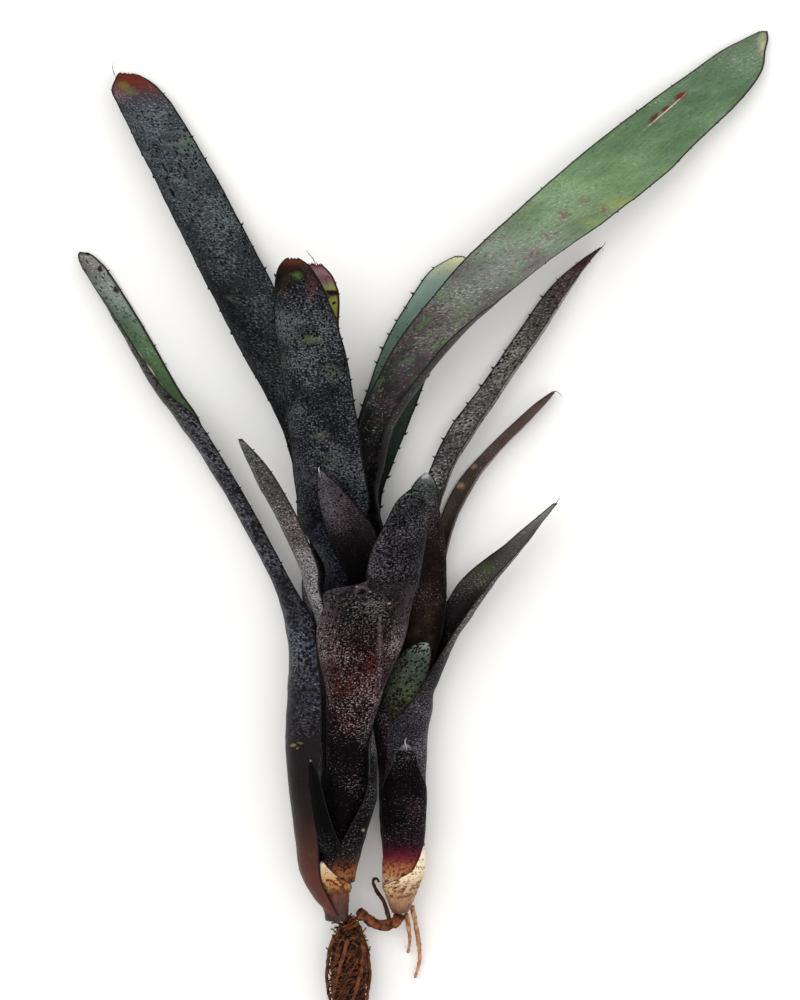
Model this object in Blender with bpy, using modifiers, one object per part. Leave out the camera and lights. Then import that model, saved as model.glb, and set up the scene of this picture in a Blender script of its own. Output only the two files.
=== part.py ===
"""A bare-rooted neoregelia, lifted from its pot: the mother rosette, a pup and the stolon that joins them.

The plant lies on its back. +Y runs from the roots to the leaf tips, +X to the pup's side, +Z up, and the
surface that it lies on is Z = 0. Sizes are in millimetres here and become metres in the meshes.
"""

import math

import bmesh
import bpy
import numpy as np
from mathutils import Vector, noise

MM = 0.001

# Leaves
BLADE_THICKNESS = 0.5
LAYER_PITCH = 0.95      # from one nested sheath to the next: a blade's thickness and the gap to its neighbour
SEAT_GAP = 0.35         # from a sheath's inner face to the stem that carries it
BLADE_ROW = 12          # longest stretch of blade between two rows of faces
LAYERS = 7              # of sheaths on one shoot, at most
COLUMNS = 7             # faces across a leaf

# A shoot: the line that its sheaths wrap around as (y, x, z), the radius inside its innermost sheath as
# (y, radius), the tip of the stem that fills the lower part of that bore, and where its layers of sheaths
# start on the stem: the innermost at layer_top, each next one layer_step lower.
SHOOTS = {
    "mother": {
        "axis": [(-118, -25, 9.2), (-90, -23.4, 11), (-63, -23.2, 11.5), (-50, -21.5, 12.8), (-30, -19.5, 15.6),
                 (-10, -19, 17)],
        "bore": [(-118, 3.2), (-110, 4.3), (-104, 4.5), (-96, 4.2), (-90, 3.8), (-84, 3.1), (-79, 2.2),
                 (-70, 1.4), (-63, 1.5), (-57, 2.8), (-50, 4.6), (-40, 7.2), (-30, 9.3), (-20, 9.8), (-10, 10)],
        "stem_top": -75, "layer_top": -79, "layer_step": 4},
    "pup": {
        "axis": [(-116, -7.2, 8), (-90, -6.6, 8), (-63, -6.2, 8), (-45, -3.5, 8), (-28, -1, 8), (-10, 0, 8)],
        "bore": [(-116, 2.5), (-111, 4.6), (-105, 5.1), (-99, 4.4), (-92, 3.2), (-86, 2.4), (-81, 1.6),
                 (-72, 1.9), (-63, 2.3), (-54, 2.5), (-45, 2.6), (-36, 2.8), (-28, 3)],
        "stem_top": -79, "layer_top": -81, "layer_step": 3.5},
}

# A leaf: its colour, the layer of its sheath (0 is innermost), where the sheath starts and ends along Y, the
# direction that its back faces (degrees about the axis: 0 is +X, 90 is up), how far it wraps to each side
# (degrees, at its start and end), and the blade's sections from there to the tip: the midrib's x, y and z,
# half of the width along the surface, the direction that the back faces, and the curl to each side (degrees).
LEAVES = {
    "mother_leaf_far_left": {
        "shoot": "mother", "colour": (0.06, 0.09, 0.08),
        "blade": [(-28.9, -116, 9.3, 6, 185, 80), (-33.5, -110.5, 8.3, 9, 185, 85),
                  (-37.2, -104, 8.1, 11, 186, 90), (-38.8, -92, 8.1, 13, 187, 95),
                  (-40, -80, 8, 15.5, 187, 100), (-40.6, -62, 8, 15.5, 187, 100),
                  (-40.4, -48, 8.4, 13.5, 187, 96), (-40.7, -37, 8.8, 10.5, 183, 88),
                  (-41.8, -28, 9.2, 8.2, 172, 80), (-44.4, -18, 9, 6.8, 158, 76),
                  (-49.7, -7, 8.2, 6.2, 150, 76), (-56.7, 6, 7.6, 6, 150, 76),
                  (-67.3, 23, 7.4, 7.6, 164, 82), (-75.8, 35, 6.8, 10, 180, 92),
                  (-82.5, 44.5, 5, 8.8, 198, 80), (-94.7, 67.5, 2.6, 6.4, 222, 72),
                  (-101.2, 79.5, 2.1, 3.8, 235, 55), (-104.6, 84.7, 2.2, 0.8, 240, 40)]},
    "mother_leaf_upper_left": {
        "shoot": "mother", "colour": (0.07, 0.085, 0.085), "layer": 4, "sheath": (-95, -10), "faces": 232,
        "wrap": (50, 46),
        "blade": [(-30.5, 9.5, 7.2, 11, 238, 48), (-38, 34.5, 5.5, 12.2, 246, 62),
                  (-50.4, 59, 4, 13.4, 249, 68), (-62.8, 84, 2.6, 13.6, 251, 69),
                  (-76, 109.5, 2, 12.9, 252, 63), (-85.6, 128.5, 2, 11.4, 252, 56),
                  (-88.3, 134, 2.4, 9.2, 252, 48), (-90.2, 138, 2.8, 5.6, 252, 36),
                  (-91.4, 140.6, 3, 2.8, 252, 26), (-91.8, 141.8, 3, 0.9, 252, 16)]},
    "mother_leaf_centre": {
        "shoot": "mother", "colour": (0.045, 0.05, 0.06), "layer": 1, "sheath": (-83, -10), "faces": 240,
        "wrap": (100, 50),
        "blade": [(-28, 9.5, 11.5, 13.5, 248, 62), (-32.6, 33.5, 17, 13.6, 250, 68),
                  (-34.8, 51.7, 21.2, 13, 252, 66), (-36.5, 59.8, 22.8, 12.3, 252, 64),
                  (-36.8, 63.6, 23.6, 11.6, 252, 62), (-37.5, 67.8, 24.4, 10.2, 252, 60),
                  (-38.1, 72.5, 25.4, 8.8, 252, 56), (-38.8, 75.8, 26.2, 7, 252, 50),
                  (-39.1, 79.4, 27, 4.7, 252, 40), (-39.5, 81.4, 27.4, 2.4, 252, 30)]},
    "mother_leaf_centre_back": {
        "shoot": "mother", "colour": (0.12, 0.07, 0.05), "layer": 3, "sheath": (-91, -10), "faces": 258,
        "wrap": (50, 22),
        "blade": [(-24.3, 0, 5.5, 2.5, 255, 18), (-27.8, 9.5, 7.3, 3, 250, 21),
                  (-29.6, 33, 10.8, 6.5, 266, 28), (-32.3, 58, 15.5, 7.6, 272, 38),
                  (-32.7, 69.8, 17.6, 8, 272, 36), (-32.9, 73.7, 18.2, 7.2, 272, 34),
                  (-32.9, 77, 18.7, 5.6, 272, 30), (-33.1, 79.4, 19, 3.4, 272, 24),
                  (-33.2, 81.3, 19.2, 1.4, 272, 16)]},
    "mother_leaf_heart": {
        "shoot": "mother", "colour": (0.05, 0.03, 0.04), "layer": 0, "sheath": (-79, -26), "faces": 262,
        "wrap": (140, 36),
        "blade": [(-18.4, -14.5, 9, 5.8, 262, 50), (-20.2, -8.8, 10.5, 6.9, 262, 50),
                  (-21.9, -2.2, 13.5, 8.4, 262, 50), (-23, 1.7, 15.5, 8.3, 262, 50),
                  (-25.7, 6.9, 18.5, 6.6, 262, 50), (-28.2, 12.3, 21.5, 4.5, 262, 50),
                  (-30.2, 16.5, 24, 2.1, 262, 46), (-31.2, 18.8, 25.3, 0.6, 262, 40)]},
    "mother_leaf_front": {
        "shoot": "mother", "colour": (0.07, 0.035, 0.045), "layer": 3, "sheath": (-91, -46), "faces": 76,
        "wrap": (104, 88),
        "blade": [(-14.5, -31.5, 27.8, 19.6, 80, 82), (-13.6, -21, 29.4, 19.5, 82, 80),
                  (-11, -16.5, 30.3, 14.8, 74, 66), (-8.2, -11.5, 31.2, 12, 68, 56),
                  (-6.4, -6, 32, 9.8, 66, 50), (-4.4, 3, 33, 7.2, 70, 42), (-3.6, 9, 33.5, 4.8, 74, 36),
                  (-3, 12.6, 33.7, 1.4, 76, 28)]},
    "mother_leaf_upper_right": {
        "shoot": "mother", "colour": (0.12, 0.24, 0.11), "layer": 2, "sheath": (-87, -10), "faces": 280,
        "wrap": (100, 48),
        "blade": [(-15, 9.5, 8.2, 11, 298, 66), (-10.5, 28, 9.5, 11.5, 304, 88),
                  (-2.8, 46, 9.8, 13.4, 306, 97), (6, 58, 9.5, 15.6, 304, 94), (16, 70, 9, 15.5, 296, 72),
                  (26.5, 82, 8.6, 15.4, 286, 52), (40.5, 94, 7.6, 16.6, 278, 36),
                  (56, 107.5, 6, 17, 273, 28), (69, 119.5, 4.5, 15.8, 270, 24),
                  (83.5, 132, 3, 14, 270, 22), (93.5, 141, 2, 10.5, 270, 18),
                  (98.5, 147.5, 1.6, 6.4, 270, 14), (102.5, 151.5, 1.4, 2, 270, 10)]},
    "mother_leaf_right_back": {
        "shoot": "mother", "colour": (0.09, 0.16, 0.1), "layer": 5, "sheath": (-99, -10), "faces": 266,
        "wrap": (70, 22),
        "blade": [(-19.3, 9.5, 1.4, 7.4, 276, 44), (-16.8, 19, 1.6, 8, 276, 44),
                  (-13.8, 28, 2, 8.5, 276, 42), (-8, 45, 2.2, 9, 276, 34), (-2.5, 60, 2, 8.5, 274, 27),
                  (4.5, 74, 2.2, 7, 274, 23), (9.5, 82, 2.6, 2, 274, 18)]},
    "mother_leaf_short_left": {
        "shoot": "mother", "colour": (0.1, 0.09, 0.07), "layer": 4, "sheath": (-95, -44), "faces": 134,
        "wrap": (22, 26),
        "blade": [(-31, -37, 20.3, 4.2, 146, 32), (-34, -24, 21.8, 4.6, 150, 52),
                  (-37.2, -10, 24, 5.4, 145, 62), (-42.7, 3, 25.5, 5.4, 138, 68),
                  (-48.4, 14, 25.3, 5.2, 135, 66), (-51.6, 21.5, 24.5, 3.8, 132, 56),
                  (-54.8, 27.8, 24, 0.8, 130, 30)]},
    "mother_leaf_stub_left": {
        "shoot": "mother", "colour": (0.06, 0.05, 0.06), "layer": 5, "sheath": (-99, -46), "faces": 172,
        "wrap": (14, 14),
        "blade": [(-34, -33, 12.8, 2.6, 178, 28), (-35.8, -24, 12.4, 2.4, 180, 26),
                  (-36.8, -15.5, 12.4, 0.8, 180, 20)]},
    "mother_cataphyll_front": {
        "shoot": "mother", "colour": (0.03, 0.015, 0.025), "layer": 5, "sheath": (-99, -68), "faces": 58,
        "wrap": (64, 50),
        "blade": [(-19.4, -62, 17.6, 1.5, 58, 12)]},
    "mother_cataphyll_left": {
        "shoot": "mother", "colour": (0.03, 0.02, 0.025), "layer": 6, "sheath": (-103, -76), "faces": 144,
        "wrap": (20, 16),
        "blade": [(-29.6, -68, 16.3, 0.8, 144, 6)]},
    "mother_bract_papery": {
        "shoot": "mother", "colour": (0.45, 0.3, 0.17), "layer": 0, "sheath": (-112, -100.5), "faces": 70,
        "wrap": (40, 46),
        "blade": []},
    "pup_leaf_long": {
        "shoot": "pup", "colour": (0.05, 0.055, 0.05), "layer": 0, "sheath": (-81, -28), "faces": 290,
        "wrap": (130, 72),
        "blade": [(1.2, -12, 5, 5.4, 298, 68), (2.5, 4, 5, 5.4, 306, 70), (7, 18, 5, 5.8, 314, 74),
                  (14.9, 31.5, 4.6, 7.6, 316, 80), (24.2, 45, 4, 6.8, 316, 80),
                  (34.4, 60, 3.2, 6.8, 316, 80), (44.2, 75, 2.6, 5.6, 318, 70),
                  (50.6, 83, 2.4, 3, 320, 55), (54.8, 87.2, 2.3, 0.8, 320, 40)]},
    "pup_leaf_narrow": {
        "shoot": "pup", "colour": (0.12, 0.08, 0.07), "layer": 1, "sheath": (-84.5, -28), "faces": 318,
        "wrap": (90, 52),
        "blade": [(5, -12, 3, 3.6, 322, 62), (9, 3, 2.8, 4.6, 324, 68), (15.4, 15.5, 2.7, 5, 324, 72),
                  (23.2, 25.5, 2.4, 3.8, 326, 70), (31.2, 34, 2.2, 2.8, 328, 64),
                  (40.2, 42, 2.1, 0.8, 328, 45)]},
    "pup_leaf_broad": {
        "shoot": "pup", "colour": (0.07, 0.04, 0.035), "layer": 2, "sheath": (-88, -45), "faces": 82,
        "wrap": (100, 70),
        "blade": [(-0.2, -32, 12.6, 7.6, 80, 60), (0.8, -20, 12.6, 8, 80, 52), (0.2, -9, 13.4, 8, 80, 46),
                  (-0.5, 0, 14.5, 7.4, 84, 42), (-0.4, 9, 15.5, 5.2, 86, 36), (0.8, 17, 16.5, 0.8, 88, 28)]},
    "pup_leaf_low": {
        "shoot": "pup", "colour": (0.05, 0.06, 0.055), "layer": 4, "sheath": (-95, -50), "faces": 338,
        "wrap": (80, 84),
        "blade": [(9, -33, 6.2, 9.5, 334, 72), (15, -22.5, 6.6, 9.5, 322, 82),
                  (21, -13.5, 7.2, 9.2, 316, 84), (28.2, -5.5, 8, 6, 314, 76), (34.4, 2, 8.6, 3, 312, 60),
                  (40.2, 8.6, 9.2, 0.8, 310, 40)]},
    "pup_leaf_blunt": {
        "shoot": "pup", "colour": (0.12, 0.17, 0.12), "layer": 3, "sheath": (-91.5, -60), "faces": 112,
        "wrap": (60, 60),
        "blade": [(-7.2, -50, 14.2, 5.4, 104, 46), (-3.6, -41, 15, 4.6, 96, 38),
                  (-0.6, -35, 15.8, 2.4, 94, 25)]},
    "pup_cataphyll_front": {
        "shoot": "pup", "colour": (0.035, 0.02, 0.025), "layer": 5, "sheath": (-98.5, -80), "faces": 92,
        "wrap": (92, 72),
        "blade": [(-5.9, -77, 14.9, 8, 91, 61), (-5.8, -73.5, 15.3, 5.8, 91, 44),
                  (-5.7, -70, 15.6, 4.2, 91, 31), (-5.6, -66.8, 15.8, 3.2, 91, 23),
                  (-5.4, -63.6, 15.9, 0.7, 90, 6)]},
    "pup_cataphyll_left": {
        "shoot": "pup", "colour": (0.05, 0.025, 0.035), "layer": 6, "sheath": (-102, -80), "faces": 182,
        "wrap": (24, 26),
        "blade": [(-14.4, -74, 10.6, 3.2, 164, 28), (-13.8, -68, 12, 3, 150, 26),
                  (-14.6, -61, 12, 2.2, 150, 22), (-13.6, -55.5, 12.2, 0.8, 145, 10)]},
    "pup_bract_papery": {
        "shoot": "pup", "colour": (0.55, 0.45, 0.3),
        "blade": [(-5.3, -110.5, 13, 5.6, 70, 60), (-4.6, -107, 13.5, 8.8, 66, 84),
                  (-3.1, -103, 13, 7.9, 52, 72), (-1.5, -99, 11.6, 4.8, 34, 42),
                  (-0.4, -96, 10.6, 2.7, 22, 22), (0, -93.5, 10, 0.9, 16, 7)]},
}

# The stems that the sheaths hide
STEM_COLOURS = {"mother": (0.30, 0.20, 0.14), "pup": (0.55, 0.30, 0.20)}
STEM_SIDES = 14
STEM_TIP = 0.5          # of the bore's radius, at the stem's top

# The stolon and the roots: the line that each follows, with a root's radius before it
CORD_STEP = 2.2
STOLON_RADIUS = 1.7
STOLON_COLOUR = (0.30, 0.13, 0.05)
STOLON_ROUTE = [(-7.4, -117, 7.8), (-8.2, -118.9, 7.3), (-11, -120.2, 6.4), (-14, -120, 6.2),
                (-17, -118.2, 7.2), (-19.6, -115.6, 8.8)]
ROOT_COLOUR = (0.24, 0.12, 0.05)
ROOTS = {
    "pup_root_short": (0.7, [(-5.2, -116.7, 7), (-4.6, -121, 5.6), (-4.2, -125.5, 3.4), (-4.8, -129.5, 1.6)]),
    "pup_root_long": (0.8, [(-3.6, -114.6, 6), (-2.6, -119.5, 5), (-1.5, -126, 3), (-1.2, -132, 1.6),
                           (-2.6, -137.5, 1.1)]),
    "pup_root_loop": (0.65, [(-10.2, -117.6, 6.8), (-11.2, -115.9, 6.4), (-12.1, -113.4, 6.3),
                           (-13, -110.4, 6.3), (-13.3, -107.6, 6.5), (-14.2, -106.1, 6.7),
                           (-15.4, -106.7, 6.8), (-15.1, -107.8, 6.8)]),
}

# The ball of old roots under the mother stem, and the roots that wind down its outside
ROOT_MASS_COLOUR = (0.035, 0.025, 0.018)
ROOT_MASS_CENTRE = (-23, -135, 6.5)
ROOT_MASS_RADII = (5.2, 16.4, 4.9)
ROOT_MASS_LUMPS = 0.6   # height of the lumps
ROOT_MASS_LUMPINESS = 2.3
MASS_ROOTS = 6
MASS_ROOT_RADIUS = 0.6
MASS_ROOT_OUT = 1.3     # from the mass to the middle of a root
MASS_ROOT_SPAN = (50, 150)  # degrees from the mass's top end
MASS_ROOT_TURN = 70     # degrees that each root winds round the mass
MASS_ROOT_POINTS = 7
FLOOR_GAP = 0.05        # under a root that the surface stops


def read(table, place):
    """Values between rows that each start with the place along the shoot."""
    places = [row[0] for row in table]
    return [float(np.interp(place, places, column)) for column in list(zip(*table))[1:]]


def clear_scene():
    for obj in list(bpy.data.objects):
        bpy.data.objects.remove(obj, do_unlink=True)


def material(name, colour, roughness=0.6):
    made = bpy.data.materials.new(name)
    made.use_nodes = True
    shader = made.node_tree.nodes["Principled BSDF"]
    shader.inputs["Base Color"].default_value = (*colour, 1)
    shader.inputs["Roughness"].default_value = roughness
    shader.inputs["Metallic"].default_value = 0
    return made


def add(name, data, colour, roughness=0.6):
    obj = bpy.data.objects.new(name, data)
    data.materials.append(material(name, colour, roughness))
    plant.objects.link(obj)
    return obj


def sheath_radius(shoot, layer, y):
    """Each sheath leaves the stem at its own height, and above that it lies outside all the later ones."""
    start = shoot["layer_top"] - shoot["layer_step"] * layer
    outside = min(max((y - start) / shoot["layer_step"], 0), layer)
    return read(shoot["bore"], y)[0] + SEAT_GAP + BLADE_THICKNESS / 2 + LAYER_PITCH * outside


def sheath_places(shoot, start, end):
    """The same places for all the sheaths of a shoot, so that nested faces stay parallel: each layer's start,
    and above them the places where the bore is given."""
    fans = [shoot["layer_top"] - shoot["layer_step"] * layer for layer in range(LAYERS)]
    places = fans + [y for y, _ in shoot["bore"] if y > shoot["layer_top"]]
    return [start] + sorted(place for place in places if start < place < end) + [end]


def sheath_sections(leaf):
    if "sheath" not in leaf:
        return []
    shoot = SHOOTS[leaf["shoot"]]
    start, end = leaf["sheath"]
    sections = []
    for y in sheath_places(shoot, start, end):
        radius = sheath_radius(shoot, leaf["layer"], y)
        x, z = read(shoot["axis"], y)
        wrap = float(np.interp(y, leaf["sheath"], leaf["wrap"]))
        facing = math.radians(leaf["faces"])
        sections.append((x + radius * math.cos(facing), y, z + radius * math.sin(facing),
                         radius * math.radians(wrap), leaf["faces"], wrap))
    return sections


def smooth_rows(sections, step):
    """Catmull-Rom rows through the sections, which a span longer than the step divides."""
    points = np.array(sections, float)
    padded = np.vstack([2 * points[0] - points[1], points, 2 * points[-1] - points[-2]])
    rows = []
    for before, this, after, beyond in zip(padded, padded[1:], padded[2:], padded[3:]):
        count = max(1, math.ceil(np.linalg.norm(after[:3] - this[:3]) / step))
        for t in np.arange(count) / count:
            rows.append(0.5 * (2 * this + (after - before) * t + (2 * before - 5 * this + 4 * after - beyond) * t**2
                               + (3 * this - before - 3 * after + beyond) * t**3))
    return np.array(rows + [points[-1]])


def leaf_point(row, across):
    """A point of the arc that one section of a leaf makes, across from -1 to 1."""
    x, y, z, half_width, facing, curl = row
    radius = half_width / math.radians(curl)
    middle = math.radians(facing)
    angle = middle + across * math.radians(curl)
    return Vector((x + radius * (math.cos(angle) - math.cos(middle)), y,
                   z + radius * (math.sin(angle) - math.sin(middle)))) * MM


def make_leaf(name, leaf):
    """A grid with a row of points on each section, given its thickness by Solidify."""
    rows = smooth_rows(sheath_sections(leaf) + leaf["blade"], BLADE_ROW)
    sheet = bmesh.new()
    bmesh.ops.create_grid(sheet, x_segments=COLUMNS, y_segments=len(rows) - 1, size=1)
    for vert in sheet.verts:
        row = round((vert.co.y + 1) / 2 * (len(rows) - 1))
        vert.co = leaf_point(rows[row], vert.co.x)
    data = bpy.data.meshes.new(name)
    sheet.to_mesh(data)
    sheet.free()
    data.shade_smooth()
    leaf_object = add(name, data, leaf["colour"])
    solid = leaf_object.modifiers.new("thickness", "SOLIDIFY")
    solid.thickness = BLADE_THICKNESS * MM
    solid.offset = 0
    return leaf_object


def make_stem(name, shoot, colour):
    """A short stem that fills the bore around the shoot's axis, widest where the leaves leave it."""
    profile = [(y, radius) for y, radius in shoot["bore"] if y < shoot["stem_top"]]
    profile.append((shoot["stem_top"], read(shoot["bore"], shoot["stem_top"])[0] * STEM_TIP))
    body = bmesh.new()
    for y, radius in profile:
        x, z = read(shoot["axis"], y)
        for vert in bmesh.ops.create_circle(body, segments=STEM_SIDES, radius=radius * MM)["verts"]:
            vert.co = Vector((vert.co.x, 0, vert.co.y)) + Vector((x, y, z)) * MM
    bmesh.ops.bridge_loops(body, edges=body.edges)
    bmesh.ops.holes_fill(body, edges=body.edges, sides=STEM_SIDES)
    bmesh.ops.recalc_face_normals(body, faces=body.faces)
    data = bpy.data.meshes.new(name)
    body.to_mesh(data)
    body.free()
    return add(name, data, colour)


def make_cord(name, route, radius, colour):
    """A root or runner: a bevelled curve with closed ends."""
    curve = bpy.data.curves.new(name, "CURVE")
    curve.dimensions = "3D"
    curve.bevel_depth = radius * MM
    curve.bevel_resolution = 1
    curve.use_fill_caps = True
    points = smooth_rows(route, CORD_STEP)
    spline = curve.splines.new("POLY")
    spline.points.add(len(points) - 1)
    for target, point in zip(spline.points, points):
        target.co = (*(point * MM), 1)
    return add(name, curve, colour)


def mass_shape(direction):
    """The root mass's surface in one direction from its centre, lumpy."""
    lump = noise.noise(direction * ROOT_MASS_LUMPINESS) * ROOT_MASS_LUMPS
    return Vector([axis * (radius + lump) for axis, radius in zip(direction, ROOT_MASS_RADII)])


def make_root_mass():
    ball = bmesh.new()
    bmesh.ops.create_icosphere(ball, subdivisions=3, radius=1)
    for vert in ball.verts:
        vert.co = (mass_shape(vert.co.normalized()) + Vector(ROOT_MASS_CENTRE)) * MM
    data = bpy.data.meshes.new("root_mass")
    ball.to_mesh(data)
    ball.free()
    return add("root_mass", data, ROOT_MASS_COLOUR, 0.95)


def mass_root_route(index):
    """Down one side of the root mass, winding part of the way round it."""
    route = []
    for along in np.linspace(0, 1, MASS_ROOT_POINTS):
        polar = math.radians(np.interp(along, (0, 1), MASS_ROOT_SPAN))
        around = math.radians(360 * (index + 0.5) / MASS_ROOTS + MASS_ROOT_TURN * along)
        direction = Vector((math.sin(polar) * math.cos(around), math.cos(polar), math.sin(polar) * math.sin(around)))
        point = Vector([centre + part * (radius + MASS_ROOT_OUT)
                        for centre, part, radius in zip(ROOT_MASS_CENTRE, direction, ROOT_MASS_RADII)])
        point.z = max(point.z, MASS_ROOT_RADIUS + FLOOR_GAP)
        route.append(tuple(point))
    return route


clear_scene()
plant = bpy.data.collections.new("neoregelia")
bpy.context.scene.collection.children.link(plant)
for name, colour in STEM_COLOURS.items():
    make_stem(f"{name}_stem", SHOOTS[name], colour)
for name, leaf in LEAVES.items():
    make_leaf(name, leaf)
make_cord("stolon", STOLON_ROUTE, STOLON_RADIUS, STOLON_COLOUR)
for name, (radius, route) in ROOTS.items():
    make_cord(name, route, radius, ROOT_COLOUR)
make_root_mass()
for index in range(MASS_ROOTS):
    make_cord(f"mother_root_{index + 1}", mass_root_route(index), MASS_ROOT_RADIUS, ROOT_COLOUR)
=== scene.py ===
"""The looks of a bare-rooted neoregelia that lies on its back: a mother rosette, its pup and their roots.

Each leaf is grown by one Geometry Nodes tree from the sections that the CAD solid has too: the place of the
midrib, half of the width along the surface, the direction that the back faces and the curl to each side.
Spines, roots and the root ball's mat are grown by trees of their own. The tables are in millimetres.
"""

import math
from functools import partial

import bmesh
import bpy
import numpy as np
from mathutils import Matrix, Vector, noise


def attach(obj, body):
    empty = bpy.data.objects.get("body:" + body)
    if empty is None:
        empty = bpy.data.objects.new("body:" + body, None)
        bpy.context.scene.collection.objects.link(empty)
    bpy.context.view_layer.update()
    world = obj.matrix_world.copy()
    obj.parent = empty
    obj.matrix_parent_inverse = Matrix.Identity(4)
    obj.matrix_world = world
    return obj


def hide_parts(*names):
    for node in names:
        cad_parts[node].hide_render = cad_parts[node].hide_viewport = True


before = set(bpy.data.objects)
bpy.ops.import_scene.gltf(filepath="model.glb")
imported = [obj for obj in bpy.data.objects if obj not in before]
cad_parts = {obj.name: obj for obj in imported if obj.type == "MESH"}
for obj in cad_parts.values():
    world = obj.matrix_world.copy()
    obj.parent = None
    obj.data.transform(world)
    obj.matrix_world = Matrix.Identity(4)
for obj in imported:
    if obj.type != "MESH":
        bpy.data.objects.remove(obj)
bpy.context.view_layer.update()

MM = 0.001

# Leaf construction, as the CAD has it
BLADE_THICKNESS = 0.5
LAYER_PITCH = 0.95      # from one sheath to the next one outside it
SEAT_GAP = 0.35         # from the bore to the innermost sheath
LAYERS = 7

# A shoot: its axis (y, x, z), the radius of the bore in its sheaths (y, radius), where its stem ends, and
# where the sheaths leave it: the innermost at layer_top, and each further one a layer_step lower
SHOOTS = {
    "mother": {
        "axis": [
            (-118, -26.4, 9.2), (-108, -27.1, 9.8), (-98, -26.1, 10.4), (-90, -24.7, 11),
            (-82, -23.7, 11.2), (-63, -23.2, 11.5), (-50, -21.5, 12.8), (-30, -19.5, 15.6), (-10, -19, 17)],
        "bore": [
            (-118, 3.6), (-112, 4.3), (-108, 5), (-104, 5.4), (-99, 5), (-95, 4.4), (-90, 4), (-84, 3.6),
            (-79, 3.2), (-70, 2.9), (-63, 3.1), (-57, 3.8), (-50, 5), (-40, 7.2), (-30, 9.3), (-20, 9.8),
            (-10, 10)],
        "stem_top": -75, "layer_top": -79, "layer_step": 4},
    "pup": {
        "axis": [
            (-116, -7.2, 8), (-98, -6.4, 8.3), (-90, -6.2, 8.3), (-63, -5.9, 8), (-45, -3.5, 8),
            (-28, -1, 8), (-10, 0, 8)],
        "bore": [
            (-116, 2.5), (-111, 4.6), (-105, 5.3), (-99, 5.4), (-92, 4.4), (-86, 3.1), (-81, 2.1),
            (-72, 2.2), (-63, 2.5), (-54, 2.5), (-45, 2.6), (-36, 2.8), (-28, 3)],
        "stem_top": -79, "layer_top": -81, "layer_step": 3.5},
}

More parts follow.
